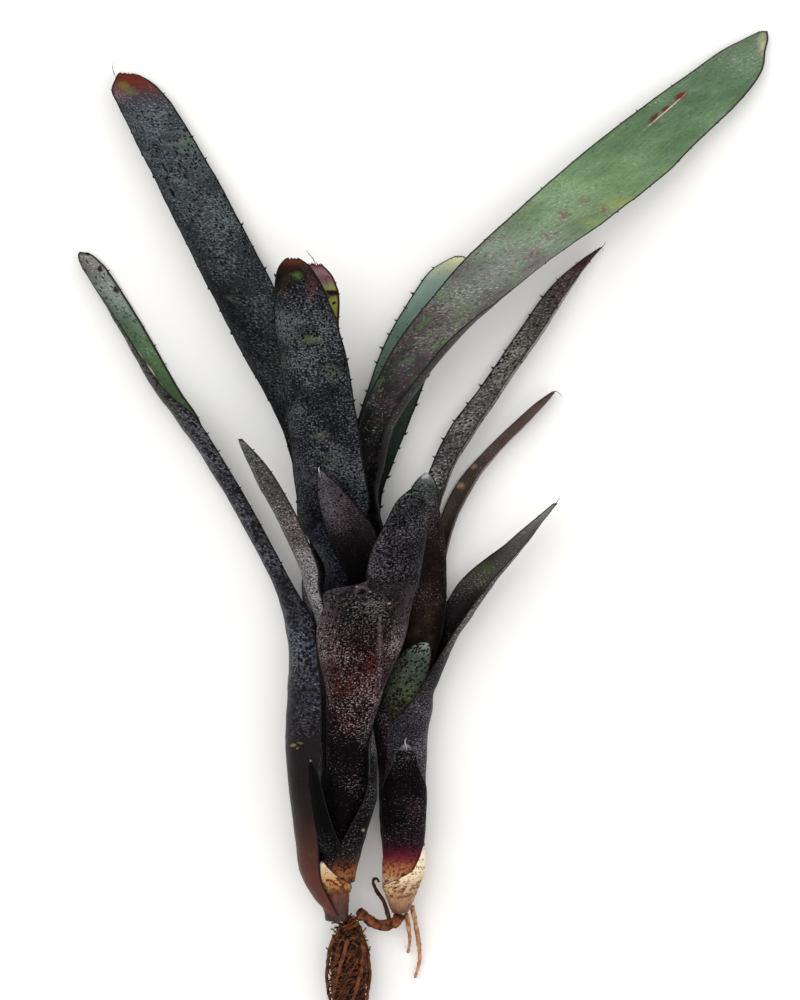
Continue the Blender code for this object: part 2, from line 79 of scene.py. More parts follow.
# A leaf: its slot, how its end is torn (depth, coarseness) and its spines (spacing, length), if it has any.
# Then its sheath: its layer, where it starts and ends along Y, the direction that its back faces, in degrees
# (0 is +X, 90 is up), and how far it wraps to each side where it starts and ends. Then its blade's sections:
# x, y, z, half width, facing and curl. Where no sheath is given, the blade holds it.
LEAVES = {
    "mother_leaf_far_left": {
        "slot": "grey_leaf", "tear": (0.6, 1.2), "spines": (6.4, 0.8),
        "blade": [
            (-28.9, -116, 9.3, 6, 185, 80), (-33.5, -110.5, 8.3, 9, 185, 85),
            (-37.2, -104, 8.1, 11, 186, 90), (-39, -92, 8.3, 12.8, 186, 90),
            (-40.6, -80, 9.3, 13.2, 180, 86), (-41.6, -62, 10.9, 14.5, 170, 92),
            (-41.1, -48, 10.7, 14.2, 171, 91), (-40.7, -37, 9.7, 12.9, 174, 88),
            (-41.8, -28, 9.8, 12.3, 170, 88), (-43.2, -22.5, 9.8, 9.6, 164, 84),
            (-45.3, -16, 9, 7, 158, 80), (-49.7, -7, 8.2, 6, 150, 76), (-56.7, 6, 7.6, 6, 150, 76),
            (-67.3, 23, 7.4, 7.6, 164, 82), (-75.8, 35, 6.8, 10, 180, 92), (-82.5, 44.5, 5, 8.8, 198, 80),
            (-94.7, 67.5, 2.6, 6.4, 222, 72), (-101.3, 79.5, 2.3, 5.1, 235, 55),
            (-102.9, 82.5, 2.2, 4.1, 238, 48), (-104.2, 84.9, 2.2, 2.6, 240, 40),
            (-104.6, 86, 2.2, 0.9, 240, 30)]},
    "mother_leaf_upper_left": {
        "slot": "grey_leaf", "tear": (1.6, 1.3), "spines": (7.5, 1.1), "layer": 4, "sheath": (-95, -10),
        "faces": 232, "wrap": (50, 46),
        "blade": [
            (-29.6, 3, 6.3, 10.5, 239, 45), (-31.1, 9.5, 6.8, 11, 239, 47),
            (-33.7, 22, 6.2, 11.4, 242.5, 54.5), (-37.6, 34.5, 5.5, 12, 246, 62),
            (-50.4, 59, 4, 13.4, 249, 68), (-62.7, 84, 2.6, 13.5, 251, 69),
            (-75.4, 109.5, 2, 12.2, 252, 63), (-85.3, 128.5, 2, 10.5, 252, 56),
            (-88.3, 134, 2.4, 9.2, 252, 48), (-89.4, 138, 2.8, 6.1, 252, 36),
            (-90.9, 140.4, 3, 2.9, 252, 26), (-91.2, 141.3, 3, 1, 252, 16)]},
    "mother_leaf_centre": {
        "slot": "grey_leaf", "tear": (1.1, 0.8), "spines": (6.2, 1.2), "layer": 1, "sheath": (-83, -10),
        "faces": 240, "wrap": (100, 50),
        "blade": [
            (-30, 3, 11, 13.8, 246, 66), (-29.8, 9.5, 11.5, 14.2, 248, 62),
            (-30.8, 18, 13.4, 14.1, 249, 64), (-32.8, 33.5, 17, 13.9, 250, 68),
            (-34.8, 51.7, 21.2, 13, 252, 66), (-36.5, 59.8, 22.8, 12.3, 252, 64),
            (-36.8, 63.6, 23.6, 11.6, 252, 62), (-37.5, 67.8, 24.4, 10.2, 252, 60),
            (-38.1, 72.5, 25.4, 8.8, 252, 56), (-38.6, 75.8, 26.2, 7.2, 252, 50),
            (-38.7, 78.6, 26.8, 5.2, 252, 42), (-38.9, 80.4, 27.2, 3.1, 252, 34),
            (-39.2, 81.6, 27.4, 1.2, 252, 26)]},
    "mother_leaf_centre_back": {
        "slot": "purple_leaf", "tear": (2.0, 1.6), "spines": (3.4, 0.6), "layer": 3, "sheath": (-91, -10),
        "faces": 258, "wrap": (50, 22),
        "blade": [
            (-24.3, 0, 5.5, 2.5, 255, 18), (-27.8, 9.5, 7.3, 3, 250, 21), (-29.6, 33, 10.8, 6.5, 266, 28),
            (-32.3, 58, 15.5, 7.6, 272, 38), (-32.7, 69.8, 17.6, 8, 272, 36),
            (-32.9, 73.7, 18.2, 7.2, 272, 34), (-32.9, 77, 18.7, 5.6, 272, 30),
            (-33.1, 79.4, 19, 3.4, 272, 24), (-33.2, 81.3, 19.2, 1.4, 272, 16)]},
    "mother_leaf_heart": {
        "slot": "purple_leaf", "spines": (2.4, 0.4), "layer": 0, "sheath": (-79, -26), "faces": 262,
        "wrap": (140, 36),
        "blade": [
            (-18.4, -14.5, 9, 5.8, 262, 50), (-20.2, -8.8, 10.5, 6.9, 262, 50),
            (-21.9, -2.2, 13.5, 8.4, 262, 50), (-23, 1.7, 15.5, 8.3, 262, 50),
            (-25.7, 6.9, 18.5, 6.6, 262, 50), (-28.2, 12.3, 21.5, 4.5, 262, 50),
            (-30.2, 16.5, 24, 2.1, 262, 46), (-31.2, 18.8, 25.3, 0.6, 262, 40)]},
    "mother_leaf_front": {
        "slot": "purple_leaf", "spines": (4, 0.4), "layer": 3, "sheath": (-97, -46), "faces": 76,
        "wrap": (104, 88),
        "blade": [
            (-17.2, -33, 27.6, 18.8, 80, 80), (-16.2, -24, 29, 19, 82, 77),
            (-15.4, -18.4, 29.8, 19, 84, 76), (-8.6, -14.8, 30.8, 9.8, 72, 48),
            (-8.1, -13.2, 31, 9.5, 72, 47), (-6.4, -6, 32, 9.8, 66, 50), (-4.4, 3, 33, 7.2, 70, 42),
            (-3.6, 9, 33.5, 4.8, 74, 36), (-3, 12.6, 33.7, 1.4, 76, 28)]},
    "mother_leaf_upper_right": {
        "slot": "green_leaf", "tear": (0.8, 0.7), "spines": (6, 0.55), "layer": 2, "sheath": (-87, -10),
        "faces": 280, "wrap": (100, 48),
        "blade": [
            (-17.5, 9.5, 8, 9, 292, 92), (-15.2, 20, 7.8, 9.6, 292, 112), (-12.6, 30, 8.2, 10.6, 298, 118),
            (-8.4, 38, 9, 12, 303, 112), (-2.8, 46, 9.8, 13.4, 306, 100), (6, 58, 9.5, 15.6, 304, 94),
            (16.2, 70, 9, 15.8, 296, 72), (27, 82, 8.6, 16, 286, 52), (40.5, 94, 7.6, 16.6, 278, 36),
            (56, 107.5, 6, 17, 273, 28), (69, 119.5, 4.5, 15.8, 270, 24), (83.5, 132, 3, 14, 270, 22),
            (93, 141, 2, 10.9, 270, 18), (98.2, 147.5, 1.6, 7, 270, 14), (102.2, 151.3, 1.4, 3.9, 270, 12),
            (105, 154.2, 1.2, 0.9, 270, 10)]},
    "mother_leaf_right_back": {
        "slot": "green_leaf", "tear": (0.8, 0.8), "spines": (4.6, 1.2), "layer": 5, "sheath": (-99, -10),
        "faces": 266, "wrap": (70, 22),
        "blade": [
            (-19.3, 9.5, 1.4, 7.4, 276, 44), (-16.8, 19, 1.6, 8, 276, 44), (-13.8, 28, 2, 8.5, 276, 42),
            (-8, 45, 2.2, 9, 276, 34), (-2.5, 60, 2, 8.5, 274, 27), (4.6, 74, 2.2, 7.1, 274, 23),
            (7.9, 79.6, 2.5, 6.3, 274, 20), (10, 82.6, 2.7, 4.2, 274, 18), (10.8, 84.2, 2.8, 2, 274, 16),
            (11, 84.9, 2.8, 0.7, 274, 16)]},
    "mother_leaf_short_left": {
        "slot": "grey_leaf", "spines": (3.6, 0.55), "layer": 2, "sheath": (-87, -48), "faces": 134,
        "wrap": (22, 26),
        "blade": [
            (-28.6, -40, 18.4, 4.2, 150, 36), (-31, -30, 18.6, 4.4, 156, 46),
            (-33.2, -22, 19.8, 4.8, 158, 54), (-35.2, -16, 21.4, 5.2, 156, 58),
            (-36.3, -10, 24, 5.5, 145, 62), (-42, 3, 25.5, 5.7, 138, 68), (-47.8, 14, 25.3, 5.4, 135, 66),
            (-51.6, 21.5, 24.5, 3.8, 132, 56), (-54.8, 27.8, 24, 0.8, 130, 30)]},
    "mother_leaf_stub_left": {
        "slot": "grey_leaf", "layer": 4, "sheath": (-95, -46), "faces": 166, "wrap": (13, 13),
        "blade": [
            (-33.6, -33, 12.8, 3.2, 150, 32), (-34.3, -24, 13.2, 3.2, 128, 30),
            (-34.9, -18, 13.6, 2.6, 120, 24), (-36.2, -13.9, 13.8, 0.6, 115, 12)]},
    "mother_cataphyll_front": {
        "slot": "cataphyll", "tear": (1.2, 0.8), "layer": 6, "sheath": (-106, -80), "faces": 10,
        "wrap": (106, 42),
        "blade": [
            (-14.3, -74, 12.2, 5.8, 5, 36), (-14.6, -67, 12.7, 4.2, 8, 26), (-15.2, -62, 13, 2.4, 10, 16),
            (-15.8, -59, 13.2, 0.7, 12, 8)]},
    "mother_cataphyll_left": {
        "slot": "cataphyll", "layer": 5, "sheath": (-103, -97), "faces": 130, "wrap": (68, 66),
        "blade": [
            (-30.9, -94, 17.2, 6.5, 132, 58), (-31.9, -88, 18.2, 4.9, 130, 46),
            (-32.7, -80, 19, 3.1, 124, 34), (-33.4, -73, 19, 2, 120, 24), (-34.2, -68, 18.6, 0.6, 118, 10)]},
    "mother_bract_papery": {
        "slot": "papery_bract", "tear": (0.6, 2.5),
        "blade": [
            (-27, -109, 15.3, 5.4, 94, 56), (-27.4, -106.5, 16.3, 6.2, 98, 56),
            (-28.8, -104.2, 16.7, 3.8, 108, 34), (-29.9, -102, 16.6, 2.5, 116, 24),
            (-30.5, -100.2, 16.4, 1.3, 120, 14), (-30.7, -98.7, 16.2, 0.4, 122, 6)]},
    "pup_leaf_long": {
        "slot": "grey_leaf", "spines": (6.5, 1.1), "layer": 0, "sheath": (-81, -28), "faces": 290,
        "wrap": (130, 72),
        "blade": [
            (1.2, -12, 5, 5.4, 298, 68), (2.5, 4, 5, 5.4, 306, 70), (7, 18, 5, 5.8, 314, 74),
            (14.9, 31.5, 4.6, 7.6, 316, 80), (24.2, 45, 4, 6.8, 316, 80), (34.4, 60, 3.2, 6.8, 316, 80),
            (44.2, 75, 2.6, 5.6, 318, 70), (50.6, 83, 2.4, 3, 320, 55), (54.8, 87.2, 2.3, 0.8, 320, 40)]},
    "pup_leaf_narrow": {
        "slot": "purple_leaf", "layer": 1, "sheath": (-84.5, -28), "faces": 318, "wrap": (90, 52),
        "blade": [
            (5, -12, 3, 3.6, 322, 62), (9, 3, 2.8, 4.6, 324, 68), (15.4, 15.5, 2.8, 5.2, 324, 72),
            (23.6, 25.5, 2.6, 4.6, 326, 70), (32, 34, 2.4, 4.2, 328, 64), (36.8, 39, 2.3, 3.4, 328, 58),
            (39.4, 42, 2.2, 1.7, 328, 48), (40.2, 43, 2.2, 0.7, 328, 45)]},
    "pup_leaf_broad": {
        "slot": "purple_leaf", "spines": (4.2, 0.4), "layer": 2, "sheath": (-88, -45), "faces": 82,
        "wrap": (100, 70),
        "blade": [
            (-0.2, -32, 12.6, 7.6, 80, 60), (0.8, -20, 12.6, 8, 80, 52), (0.2, -9, 13.4, 8, 80, 46),
            (-0.5, 0, 14.5, 7.4, 84, 42), (-0.4, 9, 15.5, 5.4, 86, 36), (0.2, 13.2, 16, 4.2, 87, 32),
            (0.6, 16, 16.4, 2.6, 88, 30), (0.9, 17.8, 16.6, 0.7, 88, 28)]},
    "pup_leaf_low": {
        "slot": "grey_leaf", "spines": (5, 0.5), "layer": 4, "sheath": (-95, -60), "faces": 340,
        "wrap": (150, 168),
        "blade": [
            (2, -54, 5.4, 15.6, 338, 128), (2.8, -48, 5.2, 11.4, 338, 94), (9, -33, 6.2, 9.5, 334, 72),
            (15, -22.5, 6.6, 9.5, 322, 82), (21, -13.5, 7.2, 9.2, 316, 84), (28.2, -5.5, 8, 6, 314, 76),
            (34.4, 2, 8.6, 3, 312, 60), (40.2, 8.6, 9.2, 0.8, 310, 40)]},
    "pup_leaf_blunt": {
        "slot": "green_leaf", "tear": (0.7, 0.7), "layer": 3, "sheath": (-91.5, -60), "faces": 112,
        "wrap": (60, 60),
        "blade": [
            (-7.4, -49, 14.4, 6.6, 102, 46), (-4.6, -42, 15, 6.2, 98, 38), (-2.9, -38, 15.3, 5.2, 96, 30),
            (-1.6, -35.4, 15.5, 3.9, 96, 24), (-0.4, -33.8, 15.7, 2.2, 96, 14),
            (0.6, -32.9, 15.8, 0.8, 96, 6)]},
    "pup_cataphyll_front": {
        "slot": "cataphyll", "layer": 5, "sheath": (-108, -80), "faces": 92, "wrap": (96, 72),
        "blade": [
            (-5.9, -77, 14.9, 8, 91, 61), (-5.8, -73.5, 15.3, 5.8, 91, 44), (-5.7, -70, 15.6, 4.2, 91, 31),
            (-5.6, -66.8, 15.8, 3.2, 91, 23), (-5.4, -63.6, 15.9, 0.7, 90, 6)]},
    "pup_cataphyll_left": {
        "slot": "cataphyll", "layer": 5, "sheath": (-98.5, -80), "faces": 196, "wrap": (28, 30),
        "blade": [
            (-13.4, -74, 8.8, 4.4, 172, 34), (-13.4, -67, 9.8, 4.8, 152, 36),
            (-13.6, -61, 10.6, 4.4, 140, 34), (-13.2, -56, 11, 3.6, 132, 28),
            (-12.8, -52, 11.4, 1.4, 128, 14)]},
    "pup_bract_papery": {
        "slot": "papery_bract", "tear": (2.2, 0.7),
        "blade": [
            (-5.6, -110.5, 13, 5.4, 70, 60), (-5, -107.6, 13.7, 8.4, 68, 80),
            (-2.2, -105, 13.4, 7.4, 44, 60), (-0.4, -102.5, 11.3, 5.3, 24, 42),
            (0.1, -99.5, 10, 3.9, 15, 31), (0.2, -96.5, 9.5, 2.3, 11, 18), (0.2, -94.3, 9.2, 0.6, 9, 6)]},
}

# What the eye meets on each leaf, on its upper side (face) and its under side (back). What changes along the
# plant is given as stops that each start with a Y. Cover runs from 0, none, to 1, all.
#   colours: stops of the tissue's colour
#   dim: what the colours are multiplied by
#   gloss, fuzz: specular level and sheen
#   flecks: scales of silver hair in short crosswise strokes: colour or stops of it, size, stops of cover
#   pits: dark dots between the scales: colour, spacing, share of a dot, and stops where they thin out
#   bands: crosswise bars: colour, spacing, stops of cover
#   patches: cloudy areas of other colours, each: colour, size, stops of cover, softness of the edge
#   streaks: how much a fine lengthwise grain lightens and darkens
#   flanks: a lighter tint away from the midrib, partly denser scales and partly painted sheen where the
#       sides of a rolled leaf turn edge-on: colour, where it starts and is full, and how much there
#   margin: a line along the edges: colour, width
#   stains: soft spots: x, y, reach along X and along Y, colour
#   marks: hard spots and scars, and on the front leaf a painted shaded opening with painted highlights: x,
#       y, reach along X and along Y, turn in degrees, colour
# A side that isn't listed hardly shows, and is PLAIN_SIDE.
PLAIN_SIDE = {
    "colours": [(-20, "#1c1b1f"), (60, "#333436")], "flecks": ("#77787a", 1.0, [(-20, 0.45), (60, 0.5)]),
    "pits": ("#0b0b0d", 1.9, 0.3), "margin": ("#141212", 0.5)}
FINISHES = {
    "mother_leaf_far_left": {
        "back": {
            "dim": 0.6, "gloss": 0.1, "fuzz": 0.1,
            "colours": [(-116, "#6e3a2e"), (-102, "#663a30"), (-94, "#4c2c27"), (-86, "#2a1919"),
                (-72, "#190f10"), (-65, "#1d1216"), (-60, "#241d24"), (-48, "#2f2d37"), (-33, "#3b3b4a"),
                (-20, "#2e2d33"), (-8, "#333334"), (15, "#292a2a"), (35, "#3a3a34"), (60, "#57524c"),
                (85, "#6c6864")],
            "flecks": ("#6d6f7b", 0.9, [(-66, 0.05), (-60, 0.35), (-30, 0.5), (30, 0.55), (60, 0.3)]),
            "pits": ("#060608", 1.5, 0.85, [(-66, 0), (-60, 1)]),
            "patches": [("#5f3a30", 3, [(-100, 0.35), (-84, 0)], 0.3)], "margin": ("#17120f", 0.5),
            "marks": [(-39.4, -64.2, 1.1, 0.5, 14, "#6f682e"), (-37.2, -63.4, 1, 0.34, -8, "#57502a"),
                (-38, -65, 0.6, 0.3, 30, "#615a2b")]},
        "face": {
            "dim": 1.15,
            "colours": [(-40, "#0d0b0c"), (20, "#35392f"), (35, "#425038"), (45, "#486040"),
                (55, "#4f6846"), (62, "#587055"), (68, "#66776a"), (76, "#6f7b73"), (80, "#686862"),
                (86, "#77736c")],
            "flecks": ([(30, "#9aa89a"), (66, "#a3ada6"), (86, "#b9b2ab")], 1.1, [(30, 0.08), (48, 0.16),
                (58, 0.3), (66, 0.42), (86, 0.52)]),
            "pits": ("#30302a", 1.9, 0.55, [(30, 0.1), (56, 0.4), (74, 0.8), (86, 1)]),
            "margin": ("#211a16", 0.8),
            "patches": [("#3c6a34", 5, [(34, 0.1), (52, 0.4), (64, 0.1), (68, 0)], 0.3), ("#39352f", 2.6,
                [(64, 0), (72, 0.25), (84, 0.42)], 0.3)],
            "marks": [(-87, 54, 1.7, 0.35, 120, "#d8c6ae"), (-83.6, 49, 2.6, 0.45, 122, "#d9c7aa"),
                (-80.6, 44.6, 1.9, 0.4, 122, "#c9a68d"), (-78.4, 52.6, 2, 0.3, 122, "#c79f83"),
                (-99.6, 80.6, 1.1, 0.8, 130, "#231c1a"), (-94.6, 74.2, 1.4, 0.9, 120, "#2d2623")]}},
    "mother_leaf_upper_left": {
        "face": {
            "dim": 0.5,
            "colours": [(-30, "#605c66"), (-14, "#605c66"), (-4, "#444248"), (3, "#1f1f22"),
                (12, "#1e1e20"), (30, "#28282b"), (60, "#2a2c2f"), (85, "#363a3d"), (105, "#454c50"),
                (120, "#4b5459"), (130, "#50565c"), (134, "#5f4d50"), (137, "#7a3a2e"), (139.5, "#8a3226")],
            "flecks": ([(60, "#70777a"), (110, "#737b7f"), (131, "#828890"), (135, "#8f7a86"),
                (138, "#96504a")], 1.1, [(-20, 0.5), (0, 0.4), (60, 0.48), (120, 0.5), (132, 0.5),
                (136, 0.3), (139, 0.1)]), "pits": ("#08090b", 1.7, 0.5, [(0, 1), (130, 1), (134, 0)]),
            "bands": ("#515f55", 7, [(10, 0.1), (60, 0.14), (90, 0.18), (110, 0.34), (128, 0.36),
                (132, 0.1)]),
            "patches": [("#1b1b1f", 9, [(20, 0.4), (96, 0.32), (112, 0.1), (124, 0)], 0.3), ("#5b5f72", 6,
                [(90, 0), (104, 0.3), (132, 0.3)], 0.35), ("#521d1a", 1.7, [(131, 0), (136, 0.4),
                (141, 0.5)], 0.2)], "margin": ("#141114", 0.6),
            "stains": [(-92, 136.4, 1.5, 1.2, "#7f7633"), (-90.2, 134.8, 2, 1.1, "#62673a"),
                (-38, 35, 3, 1.6, "#474d38"), (-92.8, 134.4, 1.4, 2.2, "#6e3c2e")],
            "marks": [(-79.5, 111.5, 1.5, 0.45, 125, "#08080a"), (-78.6, 108.2, 1, 0.4, 60, "#08080a"),
                (-76.8, 103.6, 1.9, 0.5, 118, "#08080a")]}},
    "mother_leaf_centre": {
        "face": {
            "dim": 0.4, "gloss": 0.06,
            # The stops below Y 0 are lighter than those above, partly as painted light to offset the shade
            # deep between the leaves
            "colours": [(-30, "#484854"), (-12, "#4a4a58"), (-3, "#3a3a46"), (8, "#2c2b31"),
                (35, "#26272b"), (58, "#2c3033"), (66, "#2a2d2f"), (71, "#242322"), (75.5, "#231b18"),
                (78.6, "#43221b"), (80, "#7c3d30"), (81, "#94503f")],
            "flecks": ([(-30, "#9598a8"), (0, "#84879a"), (14, "#757880")], 0.9, [(-30, 0.45), (0, 0.5),
                (60, 0.52), (70, 0.46), (75, 0.3), (79, 0.08)]),
            "pits": ("#0a0a0c", 1.5, 0.55, [(0, 1), (74, 1), (78, 0)]),
            "bands": ("#3a4038", 11, [(30, 0.3), (64, 0.32)]), "margin": ("#1d1515", 0.5),
            "stains": [(-33.4, 72.5, 1.6, 3.6, "#4a2a28"), (-41.6, 72, 1, 2.6, "#33211d"),
                (-37.8, 76.1, 1.6, 0.9, "#42602a"), (-40.4, 75, 1.2, 1, "#2a2614"),
                (-33.5, 57.5, 3, 1.1, "#59603c"), (-41, 50, 2.4, 1.2, "#3f4a36"),
                (-31, 29, 2.6, 1.1, "#4b4e38")]}},
    "mother_leaf_centre_back": {
        "face": {
            "colours": [(0, "#131011"), (50, "#2a2620"), (60, "#5a6030"), (64, "#8d9440"),
                (69.5, "#8f9648"), (71, "#5e5430"), (73, "#8d9550"), (75, "#7d6a64"), (78, "#836c6f"),
                (80, "#7a3634"), (81.5, "#6a1f20")],
            "flecks": ("#a3968f", 0.9, [(50, 0.3), (70, 0.1), (76, 0.4), (80, 0.05)]),
            "patches": [("#2c2417", 2.6, [(60, 0.3), (70, 0.4), (74, 0.3), (77, 0)], 0.2)],
            "margin": ("#3a1512", 0.7),
            "stains": [(-28.6, 76.2, 2.6, 1, "#70232a"), (-25.4, 66, 0.6, 7, "#17110f")],
            "marks": [(-27.4, 71.6, 2.4, 0.9, -10, "#241512"), (-27, 68.6, 0.6, 0.45, 20, "#17110f"),
                (-28.6, 66.4, 0.9, 0.5, 60, "#2a1d12")]}},
    "mother_leaf_heart": {
        "face": {
            "dim": 0.8, "gloss": 0.04,
            "colours": [(-18, "#070506"), (-9, "#0b090a"), (-5, "#171316"), (-1, "#2b2527"), (4, "#3e363a"),
                (9, "#474046"), (14, "#484447"), (18, "#5d5a5e")],
            "flecks": ("#746c72", 0.75, [(-14, 0.05), (-4, 0.25), (0, 0.42), (10, 0.5), (18, 0.55)]),
            "pits": ("#0d0a0c", 1.15, 0.55), "margin": ("#171013", 0.4),
            "stains": [(-21, 2, 2, 7, "#1b1515"), (-21.8, 7, 1.8, 4.5, "#2a1a1f"),
                (-26, 10.5, 1.2, 2.4, "#2a2120")],
            "marks": [(-24.8, 11.2, 0.9, 0.25, -40, "#070505"), (-24, 9.4, 0.5, 0.3, 20, "#4f4a30"),
                (-27.6, 14.6, 1.2, 0.14, -45, "#0a0707")]}},
    "mother_leaf_front": {
        "back": {
            "gloss": 0.03, "fuzz": 0.05,
            "colours": [(-90, "#050303"), (-66, "#080405"), (-60, "#12080a"), (-55, "#220b0d"),
                (-51, "#1d0b0d"), (-47, "#34140e"), (-44, "#2c0c0d"), (-38, "#280c0e"), (-32, "#1d0c0f"),
                (-26, "#141011"), (-18, "#121012"), (-8, "#17141a"), (4, "#191719"), (12, "#26282a")],
            "flecks": ([(-80, "#8a8286"), (-60, "#a39699"), (-50, "#b9abab"), (-36, "#b7a9a6"),
                (-26, "#8a7f7e"), (-16, "#6d656a"), (0, "#68636b"), (12, "#83878a")], 0.85, [(-94, 0.32),
                (-82, 0.2), (-66, 0.3), (-56, 0.4), (-51, 0.46), (-46, 0.3), (-42, 0.3), (-36, 0.42),
                (-28, 0.42), (-18, 0.42), (0, 0.46), (12, 0.5)]), "pits": ("#060304", 1.25, 0.66),
            # Lighter flanks of the tube: partly denser scales, partly painted sheen where its sides turn
            # edge-on
            "flanks": ("#43373b", 7, 14, 0.8),
            "patches": [("#220a0b", 6, [(-66, 0.2), (-56, 0.4), (-36, 0.4), (-26, 0.1)], 0.3)],
            "margin": ("#151013", 0.4),
            "stains": [(-24.5, -21, 1.8, 0.8, "#3b351f"), (-12.5, -21.5, 3.6, 0.8, "#352f20"),
                (-13.1, -35, 0.7, 11, "#5a4b4e"), (-22, -58, 2.2, 2, "#2a0d10"),
                (-27.2, -38, 1.8, 6, "#380f11"), (-15.8, -40, 1.4, 4, "#451317")],
            # Painted light and shade: the first mark is a lighter ring, a painted highlight on the rim of
            # the tube's opening; the second, near black, is painted shade for the opening itself; the next
            # two pale dots are painted glints on that rim.
            "marks": [(-18.5, -17.2, 2.1, 1.5, 25, "#544a4c"), (-18.4, -17.5, 1.7, 1.1, 20, "#040203"),
                (-19.9, -15.9, 0.45, 0.25, 20, "#8a8282"), (-16, -17.4, 0.45, 0.22, -30, "#7d7575"),
                (-10.5, -21, 0.5, 0.3, 30, "#8d8585"), (-14, -19.6, 1.4, 0.2, -35, "#060405")]},
        "face": {"colours": [(-46, "#060405"), (12, "#171416")], "margin": ("#0e0a0c", 0.4)}},
    "mother_leaf_upper_right": {
        "face": {
            "colours": [(0, "#0b0a0b"), (20, "#121012"), (34, "#1d1b1c"), (43, "#2e2c2e"), (50, "#434446"),
                (58, "#57554f"), (66, "#645f5c"), (73, "#73736d"), (80, "#7e827c"), (86, "#7c8a78"),
                (95, "#748a68"), (105, "#6f8a62"), (114, "#64805b"), (124, "#5a7553"), (136, "#587153"),
                (144, "#586b54"), (151.5, "#5f6e58")],
            "flecks": ("#aab5a7", 1.3, [(30, 0.25), (56, 0.34), (72, 0.44), (90, 0.4), (110, 0.28),
                (150, 0.2)]),
            "pits": ("#2f322b", 2.0, 0.5, [(40, 1), (58, 0.6), (72, 0.45), (88, 0.3), (110, 0.2),
                (150, 0.3)]),
            "patches": [("#624653", 6, [(30, 0.2), (46, 0.6), (80, 0.62), (92, 0.4), (106, 0)], 0.3),
                ("#688c58", 7, [(34, 0.1), (50, 0.42), (76, 0.55), (104, 0.15)], 0.3), ("#4a383e", 4.5,
                [(30, 0.3), (50, 0.42), (72, 0.36), (88, 0.1), (94, 0)], 0.25), ("#6b4f52", 2.6, [(60, 0.2),
                (76, 0.3), (98, 0.26), (108, 0.1), (116, 0)], 0.2), ("#7d8f7f", 8, [(100, 0), (112, 0.3),
                (150, 0.35)], 0.4)], "streaks": 0.1, "margin": ("#2b2322", 0.6),
            "stains": [(59.5, 99.6, 5, 2, "#8a9848"), (51, 93.4, 3.4, 1.6, "#82945a"),
                (12, 69, 4, 3, "#69755a"), (104.4, 149.6, 1.3, 3.2, "#b4ad8b"),
                (33, 84.4, 3.6, 1.8, "#6f565f"), (42.8, 96.6, 1.5, 1.9, "#6d4f52"),
                (48.8, 100.8, 1.6, 1.3, "#75695a"), (54.8, 97.8, 1.3, 1.6, "#7d5f45"),
                (36.6, 90.2, 1.2, 1, "#6d5557")],
            "marks": [(78.8, 133.3, 2.3, 1.1, 30, "#5e2c24"), (74.4, 129.4, 1.8, 0.9, 36, "#5a2e25"),
                (70.4, 126.6, 2, 0.8, 40, "#56302a"), (74.2, 128.7, 8.2, 0.22, 41, "#c9ab9a")]},
        "back": {
            "colours": [(0, "#0d0b0c"), (40, "#2b2929"), (60, "#4a4846"), (75, "#5a5856"),
                (150, "#6b7a62")], "flecks": ("#8f8b88", 0.9, [(20, 0.25), (70, 0.5)]),
            "pits": ("#0f0d0d", 2.0, 0.25), "margin": ("#171313", 0.6)}},
    "mother_leaf_right_back": {
        "face": {
            "dim": 1.25,
            "colours": [(0, "#1e211f"), (12, "#252a27"), (22, "#27312b"), (33, "#2b3831"), (42, "#3e4b44"),
                (52, "#566a60"), (62, "#61776b"), (70, "#6a7f76"), (77, "#75887f"), (80, "#98a08a"),
                (83, "#bfbf97"), (85, "#d8cdb0")],
            "flecks": ("#93a39c", 0.8, [(20, 0.12), (60, 0.22), (78, 0.1)]), "pits": ("#2c3a33", 2.8, 0.2),
            "patches": [("#8a8f8d", 5, [(60, 0), (76, 0.3)])], "margin": ("#1d1f1d", 0.5)}},
    "mother_leaf_short_left": {
        "back": {
            "dim": 0.65,
            "colours": [(-60, "#141114"), (-44, "#2a262b"), (-33, "#3b373b"), (-22, "#4b484c"),
                (-14, "#4d4a4d"), (-6, "#423b3d"), (0, "#4a3e3e"), (6, "#484240"), (14, "#4b4743"),
                (21, "#474842"), (25, "#4c4d46"), (28, "#8a8b82")],
            "flecks": ([(-50, "#9a9596"), (-10, "#a39e9f"), (8, "#b6b1b0")], 0.8, [(-50, 0.3), (-20, 0.55),
                (-6, 0.5), (0, 0.36), (28, 0.4)]),
            "pits": ("#161312", 1.3, 0.5), "margin": ("#211c1a", 0.5)}},
    "mother_leaf_stub_left": {
        "back": {
            "colours": [(-60, "#121014"), (-15, "#3a393d")],
            "flecks": ("#7a787e", 0.8, [(-60, 0.3), (-15, 0.45)]), "margin": ("#121014", 0.4)}},
    "mother_cataphyll_front": {
        "back": {
            "gloss": 0.03, "fuzz": 0.06,
            "colours": [(-106, "#5f3d2b"), (-104, "#8d5c36"), (-102, "#7d4a2a"), (-100, "#4a2a1c"),
                (-98, "#170e0d"), (-94, "#070506"), (-62, "#080607")],
            "flecks": ([(-102, "#8a6a50"), (-98, "#77706f"), (-92, "#8d898b"), (-62, "#8f8c8e")], 0.8,
                [(-103, 0.2), (-98, 0.36), (-84, 0.38), (-62, 0.45)]), "pits": ("#040303", 1.1, 0.4),
            "patches": [("#2a1710", 1.5, [(-106, 0.4), (-100, 0.5), (-98, 0)])],
            "margin": ("#1f1b1c", 0.35), "stains": [(-18.2, -89.8, 0.45, 0.5, "#a3a07e")]}},
    "mother_cataphyll_left": {
        "back": {
            "gloss": 0.03, "fuzz": 0.02,
            "colours": [(-103, "#7a4c30"), (-101, "#4a2c1f"), (-99, "#140c0c"), (-94, "#060506"),
                (-69, "#060505"), (-68.2, "#8d8a8a")],
